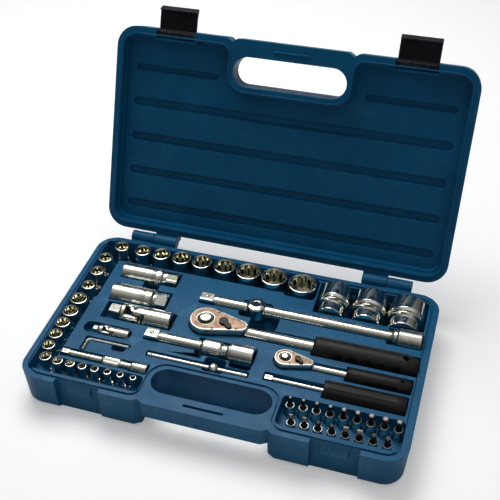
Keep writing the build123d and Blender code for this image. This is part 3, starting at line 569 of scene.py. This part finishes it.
def tint_and_marks(tree, shader, tone, shade, patch_size, rough, mark_size):
    """Cloudy colour and smudged roughness; returns the colour's socket."""
    cloud = group_node(tree, "Clouding", {"Tone": rgba(tone), "Shade": shade, "Patch Size": patch_size})
    tree.links.new(cloud.outputs["Color"], shader.inputs["Base Color"])
    marks = group_node(tree, "Handling marks", {"Polished": rough[0], "Dulled": rough[1], "Mark Size": mark_size})
    tree.links.new(marks.outputs["Roughness"], shader.inputs["Roughness"])
    return cloud.outputs["Color"]


def metal_material(name, tone, shade_dim, rough, mark_size, across, line_size, relief, metallic=1.0):
    """Plated or bare steel with smudges, a cloudy tint and fine machining lines. On the warm face plate the tint's
    darker patches are painted reflection.
    """
    material, tree, shader = start_material(name, {"Metallic": metallic})
    tint_and_marks(tree, shader, tone, rgba(tone, shade_dim), mark_size * 1.5, rough, mark_size)
    lines = group_node(tree, "Turning lines", {"Across": across, "Line Size": line_size})
    bump_into(tree, shader, lines.outputs["Height"], relief)
    return material


def case_blue():
    s = case_settings()
    return plastic_material("case_blue", s.plastic, s.shade, s.scuff, (0.33, 0.47), 0.0007, 0.016, 0.00005)


def latch_black():
    s = case_settings()
    return plastic_material("latch_black", s.latch, [c * 0.6 for c in s.latch], (0.05, 0.05, 0.06), (0.30, 0.45),
                            0.0005, 0.01, 0.00003)


def grip_black():
    s = tool_settings()
    return plastic_material("grip_black", s.grip, [c * 0.6 for c in s.grip], (0.035, 0.037, 0.033), (0.36, 0.5),
                            0.0004, 0.006, 0.00004)


def floor_material():
    material, tree, shader = start_material("pale_floor", {"Specular IOR Level": 0.2})
    tone = stage_settings().floor
    tint = tint_and_marks(tree, shader, tone, rgba(tone, 0.98), 0.4, (0.7, 0.85), 0.3)
    seen = put(tree, "ShaderNodeLightPath").outputs["Is Camera Ray"]
    lift = put(tree, "ShaderNodeMath", {0: seen, 1: stage_settings().floor_lift}, operation="MULTIPLY")
    tree.links.new(tint, shader.inputs["Emission Color"])
    tree.links.new(lift.outputs[0], shader.inputs["Emission Strength"])
    return material


# Each metal's name and colour setting, its darkest share of that colour, its least and greatest roughness,
# the size of its marks, the direction, size and relief of its lines, and how metallic it is.
METALS = {
    "chrome": ("polished_chrome", "chrome", 0.86, (0.05, 0.14), 0.009, (0.08, 0.08, 1), 0.0012, 0.0000004),
    "chrome_lying": ("polished_chrome_lying", "chrome", 0.86, (0.05, 0.13), 0.009, (0.08, 1, 0.08), 0.0012,
                     0.0000004),
    "satin": ("satin_chrome", "satin", 0.9, (0.20, 0.32), 0.008, (1, 0.05, 0.05), 0.0012, 0.0000006),
    # The warm face plate drifts between its copper tone and 0.45 of it in 9 mm patches. The copper is the plate's
    # own tint; the dark patches are painted reflection of the dark surroundings.
    "warm": ("warm_plate", "warm", 0.45, (0.28, 0.42), 0.006, (0.06, 1, 1), 0.0004, 0.000003),
    "bore": ("socket_bore", "bore", 0.45, (0.05, 0.13), 0.004, (0.3, 0.3, 1), 0.0005, 0.000003),
    "bit_steel": ("bit_steel", "bit", 0.5, (0.30, 0.46), 0.003, (0.3, 0.3, 1), 0.0003, 0.000002),
    "bit_tip": ("bit_tip", "tip", 0.6, (0.35, 0.6), 0.001, (1, 1, 0.3), 0.0003, 0.00001, 0.35),
}
OTHER_MAKERS = {"case_blue": case_blue, "latch_black": latch_black, "grip_black": grip_black,
                "floor": floor_material}
made_materials = {}


def material(finish):
    """A material by its short name, made the first time it is asked for."""
    if finish not in made_materials:
        if finish in METALS:
            name, tone, *rest = METALS[finish]
            made_materials[finish] = metal_material(name, getattr(tool_settings(), tone), *rest)
        else:
            made_materials[finish] = OTHER_MAKERS[finish]()
    return made_materials[finish]


# ---- case

class SOCKETSET_OT_case(bpy.types.Operator):
    """Soften the base and the lid and give them their plastic"""
    bl_idname = "socket_set.case"
    bl_label = "Case mouldings"

    def execute(self, context):
        s = case_settings()
        for node in ("case_base", "case_lid"):
            rounded_piece(node, ["case_blue"], s.rounding, s.segments)
        return {"FINISHED"}


class SOCKETSET_OT_latches(bpy.types.Operator):
    """Build the two snap latches"""
    bl_idname = "socket_set.latches"
    bl_label = "Latches"

    def execute(self, context):
        for side in ("left", "right"):
            rounded_piece(f"latch_{side}", ["latch_black"], case_settings().latch_rounding)
        return {"FINISHED"}


class SOCKETSET_OT_hinge_pins(bpy.types.Operator):
    """Turn the two hinge pins with their domed ends"""
    bl_idname = "socket_set.hinge_pins"
    bl_label = "Hinge pins"

    def execute(self, context):
        pins = bmesh.new()
        for low, high in island_boxes("hinge_pins"):
            r = (high.z - low.z) / 2 / MM
            span = (high.x - low.x) / MM
            rings = [(r * 0.3, 0), (r * 0.75, 0.25), (r, 0.9), (r, span - 0.9), (r * 0.75, span - 0.25),
                     (r * 0.3, span)]
            place = along_x(low.x, *middle_of(low, high)[1:])
            join(pins, ring_stack(rings, place, capped=True, sides=PIN_SIDES))
        stand_in(pins, "hinge_pins", "satin")
        return {"FINISHED"}


# ---- sockets

def knurled_band(r, z0, z1):
    """A straight-knurled band between two turned grooves."""
    return [(r, z0), (r - 0.3, z0 + 0.15), (r - 0.3, z0 + 0.45), ("knurl", r, z0 + 0.75),
            ("knurl", r, z1 - 0.75), (r - 0.3, z1 - 0.45), (r - 0.3, z1 - 0.15), (r, z1)]


def mouth_rings(flats, mouth_r, z, depth):
    """Rounded lip of a socket, its lead-in chamfer and its twelve point mouth, down to the mouth's floor."""
    corner = flats / math.sqrt(3)
    wall = mouth_r - corner
    lip = min(0.7, wall * 0.35)
    lead = max(wall - lip, 0.4) * 0.7
    return [(mouth_r, z - lip * 1.3), (mouth_r - lip * 0.12, z - lip * 0.7),
            (mouth_r - lip * 0.42, z - lip * 0.25), (mouth_r - lip, z),
            (corner + lead, z), (corner - 0.05, z - lead, 1),
            ("twelve", flats, z - lead - flats * 0.055, 1), ("twelve", flats, z - depth, 1)]


def drive_hole_rings(flats, drive, drive_r, floor):
    """From a mouth's floor down through the drilled hole and the square to the socket's foot."""
    hole = min(flats * 0.4, drive * 0.42)
    shoulder = drive * 1.08
    return [(hole, floor - 0.8, 1), (hole, shoulder + 0.4, 1),
            ("square", drive + DRIVE_PLAY, shoulder, 1), ("square", drive + DRIVE_PLAY, 0.7, 1),
            ("square", drive + DRIVE_PLAY + 0.7, 0.0, 0), (drive_r - 0.9, 0.0, 0)]


def socket_rings(flats, mouth_r, drive_r, tall, drive, depth, step):
    """Every ring of a standing socket, from its foot up to the lip and down through the bore."""
    neck = abs(mouth_r - drive_r) * 0.8 + 0.4
    rings = [(drive_r - 0.75, 0.03), (drive_r - 0.2, 0.3), (drive_r, 0.85)]
    rings += knurled_band(drive_r, step * 0.35, step * 0.75)
    rings += arc_rings(drive_r, step, mouth_r, step + neck + 1.2, 6)
    rings += mouth_rings(flats, mouth_r, tall, depth)
    return rings + drive_hole_rings(flats, drive, drive_r, tall - depth)


def flats_of(node):
    """Size across flats that a socket's name gives, in millimetres."""
    return float(node.split("socket_")[1].replace("_", "."))


# Drive square, least drive end radius, drive end's share of the mouth's radius, depth of the mouth and how
# much it grows per millimetre across flats, and height of the step, in millimetres
HALF_SHAPE = (HALF_DRIVE, 11.0, 0.86, 14, 0.2, 17.0)
QUARTER_SHAPE = (QUARTER_DRIVE, 5.9, 0.84, 6, 0.45, 10.0)


def build_upright_socket(node, flats, low, high, shape):
    """One standing socket inside the box of its CAD solid."""
    drive, least_drive_r, taper, mouth, mouth_growth, step = shape
    mouth_r = top_radius(node, low, high) / MM
    drive_r = max(least_drive_r, mouth_r * taper)
    rings = socket_rings(flats, mouth_r, drive_r, (high.z - low.z) / MM, drive, mouth + flats * mouth_growth, step)
    return ring_stack(rings, at(*middle_of(low, high)[:2], low.z))


class SOCKETSET_OT_half_sockets(bpy.types.Operator):
    """Build the standing half inch sockets"""
    bl_idname = "socket_set.half_sockets"
    bl_label = "Half inch sockets"

    def execute(self, context):
        for size in (10, 11, 12, 13, 14, 15, 17, 18, 19, 21, 22, 24):
            node = f"half_socket_{size}"
            stand_in(build_upright_socket(node, size, *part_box(node), HALF_SHAPE), node, "chrome", "bore")
        return {"FINISHED"}


class SOCKETSET_OT_quarter_sockets(bpy.types.Operator):
    """Build the standing quarter inch sockets"""
    bl_idname = "socket_set.quarter_sockets"
    bl_label = "Quarter inch sockets"

    def execute(self, context):
        for node in sorted(frame["nodes"]):
            if not node.startswith("quarter_socket_"):
                continue
            bm = build_upright_socket(node, flats_of(node), *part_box(node), QUARTER_SHAPE)
            stand_in(bm, node, "chrome", "bore")
        node = "quarter_sockets_4_to_5"
        trio = bmesh.new()
        for flats, (low, high) in zip((5.0, 4.5, 4.0), island_boxes(node)):
            join(trio, build_upright_socket(node, flats, low, high, QUARTER_SHAPE))
        stand_in(trio, node, "chrome", "bore")
        return {"FINISHED"}


class SOCKETSET_OT_lying_sockets(bpy.types.Operator):
    """Build the three large sockets that lie in the tray"""
    bl_idname = "socket_set.lying_sockets"
    bl_label = "Large sockets"

    def execute(self, context):
        for size in (27, 30, 32):
            node = f"half_socket_{size}"
            low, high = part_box(node)
            r = (high.x - low.x) / 2 / MM
            tall = (high.y - low.y) / MM
            neck = r * 0.84
            rings = [(neck - 1.0, 0.05), (neck - 0.3, 0.35), (neck, 1.0)]
            rings += [(neck, 10.6), (neck - 0.3, 11.3), (neck - 0.8, 12.0), (neck - 0.8, 14.0), (r * 0.95, 14.9)]
            rings += knurled_band(r * 0.98, 15.2, 18.7)
            rings += arc_rings(r * 0.9, 19.6, r, 23.5, 6)
            rings += mouth_rings(size, r, tall, LYING_MOUTH)
            rings += drive_hole_rings(size, HALF_DRIVE, neck, tall - LYING_MOUTH)
            x, _, z = middle_of(low, high)
            stand_in(ring_stack(rings, along_y(x, low.y, z)), node, "chrome_lying", "bore")
        return {"FINISHED"}


class SOCKETSET_OT_spark_plug_sockets(bpy.types.Operator):
    """Build the two long spark plug sockets"""
    bl_idname = "socket_set.spark_plug_sockets"
    bl_label = "Spark plug sockets"

    def execute(self, context):
        for size in (16, 21):
            node = f"spark_plug_socket_{size}"
            low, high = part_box(node)
            r = (high.y - low.y) / 2 / MM
            span = (high.x - low.x) / MM
            inside = size + 0.3
            rings = [(r - 0.8, 0.02), (r - 0.2, 0.3), (r, 0.9), (r, 37.0)]
            for groove in (37.6, 39.4, 41.2):
                rings += [(r - 0.5, groove), (r - 0.5, groove + 0.7), (r, groove + 1.1)]
            rings += [("knurl", r, 42.9), ("knurl", r, 46.4), (r - 0.4, 46.7), (r - 0.4, 47.4), (r, 47.9),
                      (r, 48.4)]
            rings += arc_rings(r, 48.6, r * 0.82, 51.2, 5)
            rings += [(r * 0.82, span - 13.6), ("hex", r * 1.5, span - 13.0), ("hex", r * 1.5, span - 0.9),
                      (r * 0.76, span - 0.25), ("square", HALF_DRIVE + 0.5, span, 0),
                      ("square", HALF_DRIVE + DRIVE_PLAY, span - 0.5, 1),
                      ("square", HALF_DRIVE + DRIVE_PLAY, span - 13.0, 1), (5.5, span - 13.2, 1), (5.5, 45.5, 1),
                      ("hex", inside, 45.0, 1), ("hex", inside, 1.0, 1), (inside / math.sqrt(3) + 0.2, 0.0, 1)]
            stand_in(ring_stack(rings, along_x(low.x, *middle_of(low, high)[1:])), node, "satin", "bore")
        return {"FINISHED"}


# ---- bits

def lobed(size, angle):
    """Six-lobed star outline."""
    return size * (0.87 + 0.13 * math.cos(6 * angle))


def crossed(size, angle):
    """Cross outline with four blades."""
    return size * (0.48 + 0.52 * abs(math.cos(2 * angle)) ** 6)


def flat_blade(size, angle):
    """Flat screwdriver blade outline."""
    return min(size, size * 0.3 / max(abs(math.sin(angle)), 0.001))


def bit_rings(kind, r):
    """Hexagon shank, waist and working end of a bit, from the shank's foot up."""
    rings = [("hex", 5.4, 0.0), ("hex", 6.3, 0.6), ("hex", 6.3, 15.4), (3.1, 16.4)]
    rings += arc_rings(3.0, 16.6, r * 1.05, 18.6, 3)
    if kind == "hex":
        return rings + [(kind, r * 2.1, 19.2), (kind, r * 2.1, 25.4), (kind, r * 2.1, 25.5, 1),
                        (kind, r * 1.8, 26.4, 1)]
    if kind is crossed:
        return rings + [(kind, r * 1.25, 19.4), (kind, r * 1.15, 23.0), (kind, r * 0.8, 25.2, 1),
                        (kind, r * 0.3, 26.4, 1)]
    if kind is flat_blade:
        return rings + [(kind, r * 1.3, 21.0), (kind, r * 1.35, 25.9, 1), (kind, r * 1.2, 26.4, 1)]
    return rings + [(kind, r * 1.12, 19.2), (kind, r * 1.12, 25.4), (kind, r * 1.12, 25.5, 1),
                    (kind, r * 0.9, 26.4, 1)]


class SOCKETSET_OT_bits(bpy.types.Operator):
    """Build the bit sockets and the screwdriver bits pressed into them"""
    bl_idname = "socket_set.bits"
    bl_label = "Bit sockets and bits"

    def execute(self, context):
        sleeves = bmesh.new()
        for low, high in island_boxes("bit_sockets"):
            foot = (high.x - low.x) / 2 / MM
            tall = (high.z - low.z) / MM
            lip = 4.75
            rings = [(foot - 0.5, 0.0), (foot, 0.5), (foot, 3.0), (foot - 0.3, 3.3), (foot - 0.3, 4.1),
                     ("knurl", foot, 4.5), ("knurl", foot, 9.2), (foot - 0.3, 9.5), (foot, 10.2)]
            rings += arc_rings(foot, 11.0, lip, 14.0, 4)
            rings += [(lip, tall - 0.6), (lip - 0.15, tall - 0.2), (lip - 0.45, tall), (4.15, tall),
                      ("hex", 6.5, tall - 0.6, 1), ("hex", 6.5, 10.2, 1), (2.4, 10.0, 1), (2.4, 8.0, 1),
                      ("square", QUARTER_DRIVE + 0.1, 7.9, 1), ("square", QUARTER_DRIVE + 0.1, 0.4, 1),
                      ("square", QUARTER_DRIVE + 0.6, 0.0, 0)]
            join(sleeves, ring_stack(rings, at(*middle_of(low, high)[:2], low.z), sides=ROD_SIDES))
        stand_in(sleeves, "bit_sockets", "chrome", "bore")
        bits = bmesh.new()
        boxes = island_boxes("bits")
        middle_y = sum(low.y + high.y for low, high in boxes) / len(boxes) / 2
        rear = [b for b in boxes if b[0].y > middle_y - 3 * MM]
        front = [b for b in boxes if b not in rear]
        for row, kinds, start, grow in ((rear, (lobed, lobed, "hex", "hex"), 1.35, 0.16),
                                        (front, (flat_blade, crossed), 1.5, 0.13)):
            for k, (low, high) in enumerate(row):
                r = start + grow * k
                kind = kinds[k // 2 % len(kinds)]
                place = at(*middle_of(low, high)[:2], low.z)
                join(bits, ring_stack(bit_rings(kind, r), place, capped=True, sides=ROD_SIDES))
        stand_in(bits, "bits", "bit_steel", "bit_tip")
        return {"FINISHED"}


# ---- extensions and bars

def square_head_rings(drive, span):
    """Square drive with softened corners, from its end face to where the shaft begins."""
    return [("square", drive * 0.86, 0.0), ("square", drive * 0.97, 0.35), ("square", drive, 0.9),
            ("square", drive, span - 0.6), ("square", drive * 0.94, span)]


def female_end_rings(r, start, end, drive):
    """Socket end of an extension with its square hole, down to the hole's floor."""
    return [(r * 0.8, start), (r * 0.93, start + 0.4), (r, start + 1.5),
            (r, start + 3.2), (r - 0.25, start + 3.5), (r - 0.25, start + 4.1),
            (r, start + 4.4), (r, end - 0.9), (r - 0.25, end - 0.3),
            (r - 0.8, end), ("square", drive + 0.9, end),
            ("square", drive + DRIVE_PLAY, end - 0.6, 1), ("square", drive + DRIVE_PLAY, end - drive, 1),
            (drive * 0.3, end - drive, 1), (drive * 0.3, end - drive - 2, 1)]


class SOCKETSET_OT_extensions(bpy.types.Operator):
    """Turn the three extension bars"""
    bl_idname = "socket_set.extensions"
    bl_label = "Extension bars"

    def build(self, node, drive, bar_r, head, collar, female, ball_r):
        low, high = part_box(node)
        span = (high.x - low.x) / MM
        _, y, z = middle_of(low, high)
        r = (high.z - low.z) / 2 / MM
        rings = square_head_rings(drive, head)
        rings += [(bar_r * 0.88, head + 0.2), (bar_r * 0.88, head + 1.4), (bar_r, head + 2)]
        rings += collar(span)
        rings += female_end_rings(r, span - female, span, drive)
        bm = ring_stack(rings, along_x(low.x, y, z), capped=True)
        add_ball(bm, (low.x + drive * 0.62 * MM, y, z + drive / 2 * MM), ball_r * MM, 0.55)
        stand_in(bm, node, "satin", "bore")

    def execute(self, context):
        def long_collar(span):
            return [(6.5, span - 34.5)] + arc_rings(6.5, span - 34, 9.0, span - 28.5, 4) + [
                (9.0, span - 26.6), (7.6, span - 26.2)]

        def short_collar(span):
            start = span - 59.5
            return ([(6.5, start)] + arc_rings(6.5, start, 9.0, start + 3, 4)
                    + knurled_band(9.0, start + 3.4, start + 21.5)
                    + arc_rings(9.0, start + 22, 7.4, start + 25, 4)
                    + [(7.4, span - 30), (9.3, span - 27), (9.3, span - 26.3)])

        def quarter_collar(span):
            start = span - 52.5
            return ([(3.9, start)] + arc_rings(3.9, start, 4.9, start + 3, 3)
                    + knurled_band(4.9, start + 3.2, start + 21)
                    + arc_rings(4.9, start + 21.2, 3.9, start + 24, 3) + [(3.9, span - 18.5)])

        self.build("half_long_extension", HALF_DRIVE, 6.5, 16.0, long_collar, 26.0, 2.4)
        self.build("half_short_extension", HALF_DRIVE, 6.5, 16.0, short_collar, 26.0, 2.4)
        self.build("quarter_extension", QUARTER_DRIVE, 3.9, 8.2, quarter_collar, 17.5, 1.3)
        return {"FINISHED"}


class SOCKETSET_OT_t_bars(bpy.types.Operator):
    """Build the sliding T heads and the small T bar"""
    bl_idname = "socket_set.t_bars"
    bl_label = "T bars"

    def execute(self, context):
        for kind, edge in T_SLIDER_EDGES.items():
            rounded_piece(f"{kind}_t_slider", ["chrome"], edge)
        low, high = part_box("quarter_t_rod")
        y = middle_of(low, high)[1]
        r = (high.y - low.y) / 2 / MM
        span = (high.x - low.x) / MM
        z = low.z + r * MM
        rings = [(r * 0.35, 0.0), (r * 0.8, 0.3), (r, 0.9), (r, span - 0.9), (r * 0.8, span - 0.3),
                 (r * 0.35, span)]
        bar = ring_stack(rings, along_x(low.x, y, z), capped=True, sides=ROD_SIDES)
        for x in (low.x + 5 * MM, high.x - 6 * MM):
            stop = [(0.95, 0.0), (0.95, 2.6), (0.75, 3.2), (0.3, 3.5)]
            join(bar, ring_stack(stop, at(x, y, high.z - 3.5 * MM), capped=True, sides=PIN_SIDES))
        stand_in(bar, "quarter_t_rod", "satin")
        return {"FINISHED"}


class SOCKETSET_OT_universal_joints(bpy.types.Operator):
    """Build the yokes and crosses of the two universal joints"""
    bl_idname = "socket_set.universal_joints"
    bl_label = "Universal joints"

    def execute(self, context):
        for kind, edge in JOINT_EDGES.items():
            for yoke in ("male", "female"):
                rounded_piece(f"{kind}_joint_{yoke}_yoke", ["satin"], edge)
            rounded_piece(f"{kind}_joint_cross", ["bit_steel"], edge * 0.6)
        return {"FINISHED"}


class SOCKETSET_OT_hex_key(bpy.types.Operator):
    """Build the bent hexagon key"""
    bl_idname = "socket_set.hex_key"
    bl_label = "Hexagon key"

    def execute(self, context):
        rounded_piece("hex_key", ["satin"], KEY_EDGE)
        return {"FINISHED"}


# ---- ratchets and spinner

def face_plate(margin, sink):
    """Inset the head's flat top face as a brushed plate sunk in a thin rim."""
    def change(bm):
        top = max(v.co.z for v in bm.verts)
        flat = [f for f in bm.faces if f.normal.z > 0.99 and f.calc_center_median().z > top - 0.0005]
        bmesh.ops.inset_region(bm, faces=flat, thickness=margin, depth=0.0)
        bmesh.ops.inset_region(bm, faces=flat, thickness=margin * 0.15, depth=0.0)
        for vert in {v for f in flat for v in f.verts}:
            vert.co.z -= sink
        for face in flat:
            face.material_index = 1
    return change


def add_screw(bm, centre, r, high):
    """Low round screw with a sunk hexagon."""
    rings = [(r, 0.0), (r, high * 0.6), (r * 0.88, high), (r * 0.62, high), ("hex", r * 1.0, high - 0.1),
             ("hex", r * 1.0, high - 0.9)]
    join(bm, ring_stack(rings, at(*centre), capped=True, sides=PIN_SIDES))


class SOCKETSET_OT_ratchets(bpy.types.Operator):
    """Build the two ratchets: heads, drives, buttons, levers and grips"""
    bl_idname = "socket_set.ratchets"
    bl_label = "Ratchets"

    def build_button(self, kind):
        node = f"{kind}_ratchet_button"
        low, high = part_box(node)
        r = (high.x - low.x) / 2 / MM
        tall = (high.z - low.z) / MM
        rings = [(r, 0.0), (r, tall - 1.1), (r - 0.1, tall - 0.5), (r - 0.4, tall - 0.2), (r - 0.8, tall - 0.1),
                 (r * 0.6, tall - 0.04), (r * 0.3, tall), (r * 0.05, tall)]
        stand_in(ring_stack(rings, at(*middle_of(low, high)[:2], low.z), capped=True), node, "satin")

    def build_screws(self, kind, places, r):
        """Plate screws, at (along, across) shares of the head's radius from the drive's axis."""
        low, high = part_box(f"{kind}_ratchet_body")
        head_r = (high.y - low.y) / 2
        screws = bmesh.new()
        for along, across in places:
            add_screw(screws, (low.x + head_r * (1 + along), (low.y + high.y) / 2 + head_r * across,
                               high.z - 0.6 * MM), r, 0.75)
        finish_piece(screws, f"{kind}_ratchet_screws", ["bit_steel"], f"{kind}_ratchet_body")

    def execute(self, context):
        edge = tool_settings().edge
        for kind, scale, places in (("half", 1.0, ((0.62, 0.74), (0.62, -0.74), (2.0, 0.38), (2.0, -0.38))),
                                    ("quarter", 0.6, ((0.6, 0.7), (0.6, -0.7)))):
            rounded_piece(f"{kind}_ratchet_body", ["satin", "warm"], edge * scale, 3,
                          face_plate(PLATE_MARGIN * scale, PLATE_SINK))
            for part, width in RATCHET_EDGES.items():
                finish = "grip_black" if part == "grip" else "bit_steel"
                rounded_piece(f"{kind}_ratchet_{part}", [finish], width * scale)
            self.build_button(kind)
            self.build_screws(kind, places, 1.7 * scale)
        return {"FINISHED"}


class SOCKETSET_OT_spinner(bpy.types.Operator):
    """Build the spinner handle: square-ended shaft and fluted grip"""
    bl_idname = "socket_set.spinner"
    bl_label = "Spinner handle"

    def execute(self, context):
        low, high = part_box("spinner_shaft")
        _, y, z = middle_of(low, high)
        span = (high.x - low.x) / MM
        rings = square_head_rings(QUARTER_DRIVE, 8.6) + [
            (2.7, 8.8), (2.7, 9.8), (3.0, 10.2), (3.0, span - 0.5),
            (2.5, span)]
        shaft = ring_stack(rings, along_x(low.x, y, z), capped=True)
        add_ball(shaft, (low.x + 4 * MM, y, z + QUARTER_DRIVE / 2 * MM), 1.3 * MM, 0.55)
        stand_in(shaft, "spinner_shaft", "satin")
        low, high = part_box("spinner_grip")
        r = (high.z - low.z) / 2 / MM
        span = (high.x - low.x) / MM

        def fluted(size, angle):
            return size - 0.35 * max(0.0, math.cos(12 * angle)) ** 2

        rings = [(3.1, 0.0), (r - 1.6, 0.0), (r - 0.5, 0.5), (r, 1.8), (r, 5.0), (fluted, r, 7.0),
                 (fluted, r, span - 13.0), (r, span - 11.0), (r - 0.1, span - 7.0), (r - 0.7, span - 4.0),
                 (r - 1.6, span - 1.8), (r - 2.8, span - 0.5), (r - 4.0, span), (r - 5.0, span),
                 (r - 5.6, span - 0.5), (1.0, span - 0.5)]
        grip = ring_stack(rings, along_x(low.x, *middle_of(low, high)[1:]), capped=True)
        stand_in(grip, "spinner_grip", "grip_black")
        return {"FINISHED"}


# ---- stage

KEY_PLACE, KEY_TARGET = (-0.35, 0.55, 1.35), (0.0, 0.0, 0.03)
FILL_PLACE, FILL_TARGET = (0.9, -1.3, 0.9), (0.0, 0.0, 0.08)
LAMP_SIZE = 0.9             # side of each square light, in metres
STUDIO_GLOW = 0.58          # strength of the surroundings that polished metal mirrors
CAMERA_PLACE = (0.2229, -0.6920, 0.7722)
CAMERA_AZIMUTH = 19.88
CAMERA_ELEVATION = 41.26
CAMERA_ROLL = -2.37
CAMERA_SHIFT = (0.0804, 0.0464)


class SOCKETSET_OT_stage(bpy.types.Operator):
    """Lay the pale floor and set the lights and the camera"""
    bl_idname = "socket_set.stage"
    bl_label = "Floor, lights and camera"

    def build_floor(self):
        bm = bmesh.new()
        bmesh.ops.create_grid(bm, x_segments=8, y_segments=8, size=6.0)
        mesh = bpy.data.meshes.new("floor")
        bm.to_mesh(mesh)
        bm.free()
        mesh.materials.append(material("floor"))
        floor = bpy.data.objects.new("floor", mesh)
        bpy.context.scene.collection.objects.link(floor)

    def build_world(self):
        """Bright above and behind, dim in front, so that polished metal has something to mirror."""
        world = bpy.data.worlds.new("studio")
        world.use_nodes = True
        tree = world.node_tree
        tree.nodes.clear()
        where = put(tree, "ShaderNodeTexCoord").outputs["Generated"]
        lean = put(tree, "ShaderNodeVectorMath", {0: where, 1: (0.05, 0.0, 1.0)}, operation="DOT_PRODUCT")
        ramp = put(tree, "ShaderNodeValToRGB", {"Fac": lean.outputs["Value"]})
        ramp.color_ramp.elements[0].position = 0.10
        ramp.color_ramp.elements[0].color = (0.03, 0.032, 0.034, 1)
        ramp.color_ramp.elements[1].position = 0.97
        ramp.color_ramp.elements[1].color = (1.0, 1.0, 0.97, 1)
        middle = ramp.color_ramp.elements.new(0.62)
        middle.color = (0.30, 0.31, 0.31, 1)
        studio = put(tree, "ShaderNodeBackground", {"Color": ramp.outputs["Color"], "Strength": STUDIO_GLOW})
        plain = put(tree, "ShaderNodeBackground", {"Color": (0.96, 0.96, 0.96, 1), "Strength": 1.0})
        seen = put(tree, "ShaderNodeLightPath").outputs["Is Camera Ray"]
        mix = put(tree, "ShaderNodeMixShader", {0: seen, 1: studio.outputs[0], 2: plain.outputs[0]})
        put(tree, "ShaderNodeOutputWorld", {"Surface": mix.outputs[0]})
        bpy.context.scene.world = world

    def add_light(self, name, place, target, power):
        lamp = bpy.data.lights.new(name, "AREA")
        lamp.shape = "SQUARE"
        lamp.size = LAMP_SIZE
        lamp.energy = power
        light = bpy.data.objects.new(name, lamp)
        light.location = place
        light.rotation_euler = (Vector(target) - Vector(place)).to_track_quat("-Z", "Y").to_euler()
        bpy.context.scene.collection.objects.link(light)

    def add_camera(self):
        turn, rise, roll = (math.radians(a) for a in (CAMERA_AZIMUTH, CAMERA_ELEVATION, CAMERA_ROLL))
        back = Vector((math.sin(turn) * math.cos(rise), -math.cos(turn) * math.cos(rise), math.sin(rise)))
        right = Vector((math.cos(turn), math.sin(turn), 0))
        up = back.cross(right)
        axes = (math.cos(roll) * right + math.sin(roll) * up, math.cos(roll) * up - math.sin(roll) * right, back)
        data = bpy.data.cameras.new("camera")
        data.sensor_width = 36.0
        data.lens = stage_settings().lens
        data.shift_x, data.shift_y = CAMERA_SHIFT
        camera = bpy.data.objects.new("camera", data)
        camera.matrix_world = at(*CAMERA_PLACE) @ Matrix(axes).transposed().to_4x4()
        bpy.context.scene.collection.objects.link(camera)
        bpy.context.scene.camera = camera

    def execute(self, context):
        s = stage_settings()
        self.build_floor()
        self.build_world()
        self.add_light("key", KEY_PLACE, KEY_TARGET, s.key_power)
        self.add_light("fill", FILL_PLACE, FILL_TARGET, s.fill_power)
        self.add_camera()
        context.scene.view_settings.view_transform = "Standard"
        return {"FINISHED"}


# ---- panel and registration

BUILDERS = (SOCKETSET_OT_stage, SOCKETSET_OT_case, SOCKETSET_OT_latches, SOCKETSET_OT_hinge_pins,
            SOCKETSET_OT_half_sockets, SOCKETSET_OT_quarter_sockets, SOCKETSET_OT_lying_sockets,
            SOCKETSET_OT_spark_plug_sockets, SOCKETSET_OT_bits, SOCKETSET_OT_extensions, SOCKETSET_OT_t_bars,
            SOCKETSET_OT_universal_joints, SOCKETSET_OT_hex_key, SOCKETSET_OT_ratchets, SOCKETSET_OT_spinner)


class SOCKETSET_PT_panel(bpy.types.Panel):
    """Lists the settings and the builders"""
    bl_idname = "SOCKETSET_PT_panel"
    bl_label = "Socket wrench set"
    bl_space_type = "VIEW_3D"
    bl_region_type = "UI"
    bl_category = "Socket set"

    def draw(self, context):
        layout = self.layout
        for group in (case_settings(), tool_settings(), stage_settings()):
            box = layout.box()
            for key in group.__annotations__:
                box.prop(group, key)
        for builder in BUILDERS:
            layout.operator(builder.bl_idname)


CLASSES = (SocketSetCase, SocketSetTools, SocketSetStage, *BUILDERS, SOCKETSET_PT_panel)


def register():
    for cls in CLASSES:
        bpy.utils.register_class(cls)
    bpy.types.Scene.socket_set_case = PointerProperty(type=SocketSetCase)
    bpy.types.Scene.socket_set_tools = PointerProperty(type=SocketSetTools)
    bpy.types.Scene.socket_set_stage = PointerProperty(type=SocketSetStage)


def unregister():
    del bpy.types.Scene.socket_set_stage
    del bpy.types.Scene.socket_set_tools
    del bpy.types.Scene.socket_set_case
    for cls in reversed(CLASSES):
        bpy.utils.unregister_class(cls)


def main():
    register()
    for builder in BUILDERS:
        group, name = builder.bl_idname.split(".")
        getattr(getattr(bpy.ops, group), name)()


if __name__ == "__main__":
    main()
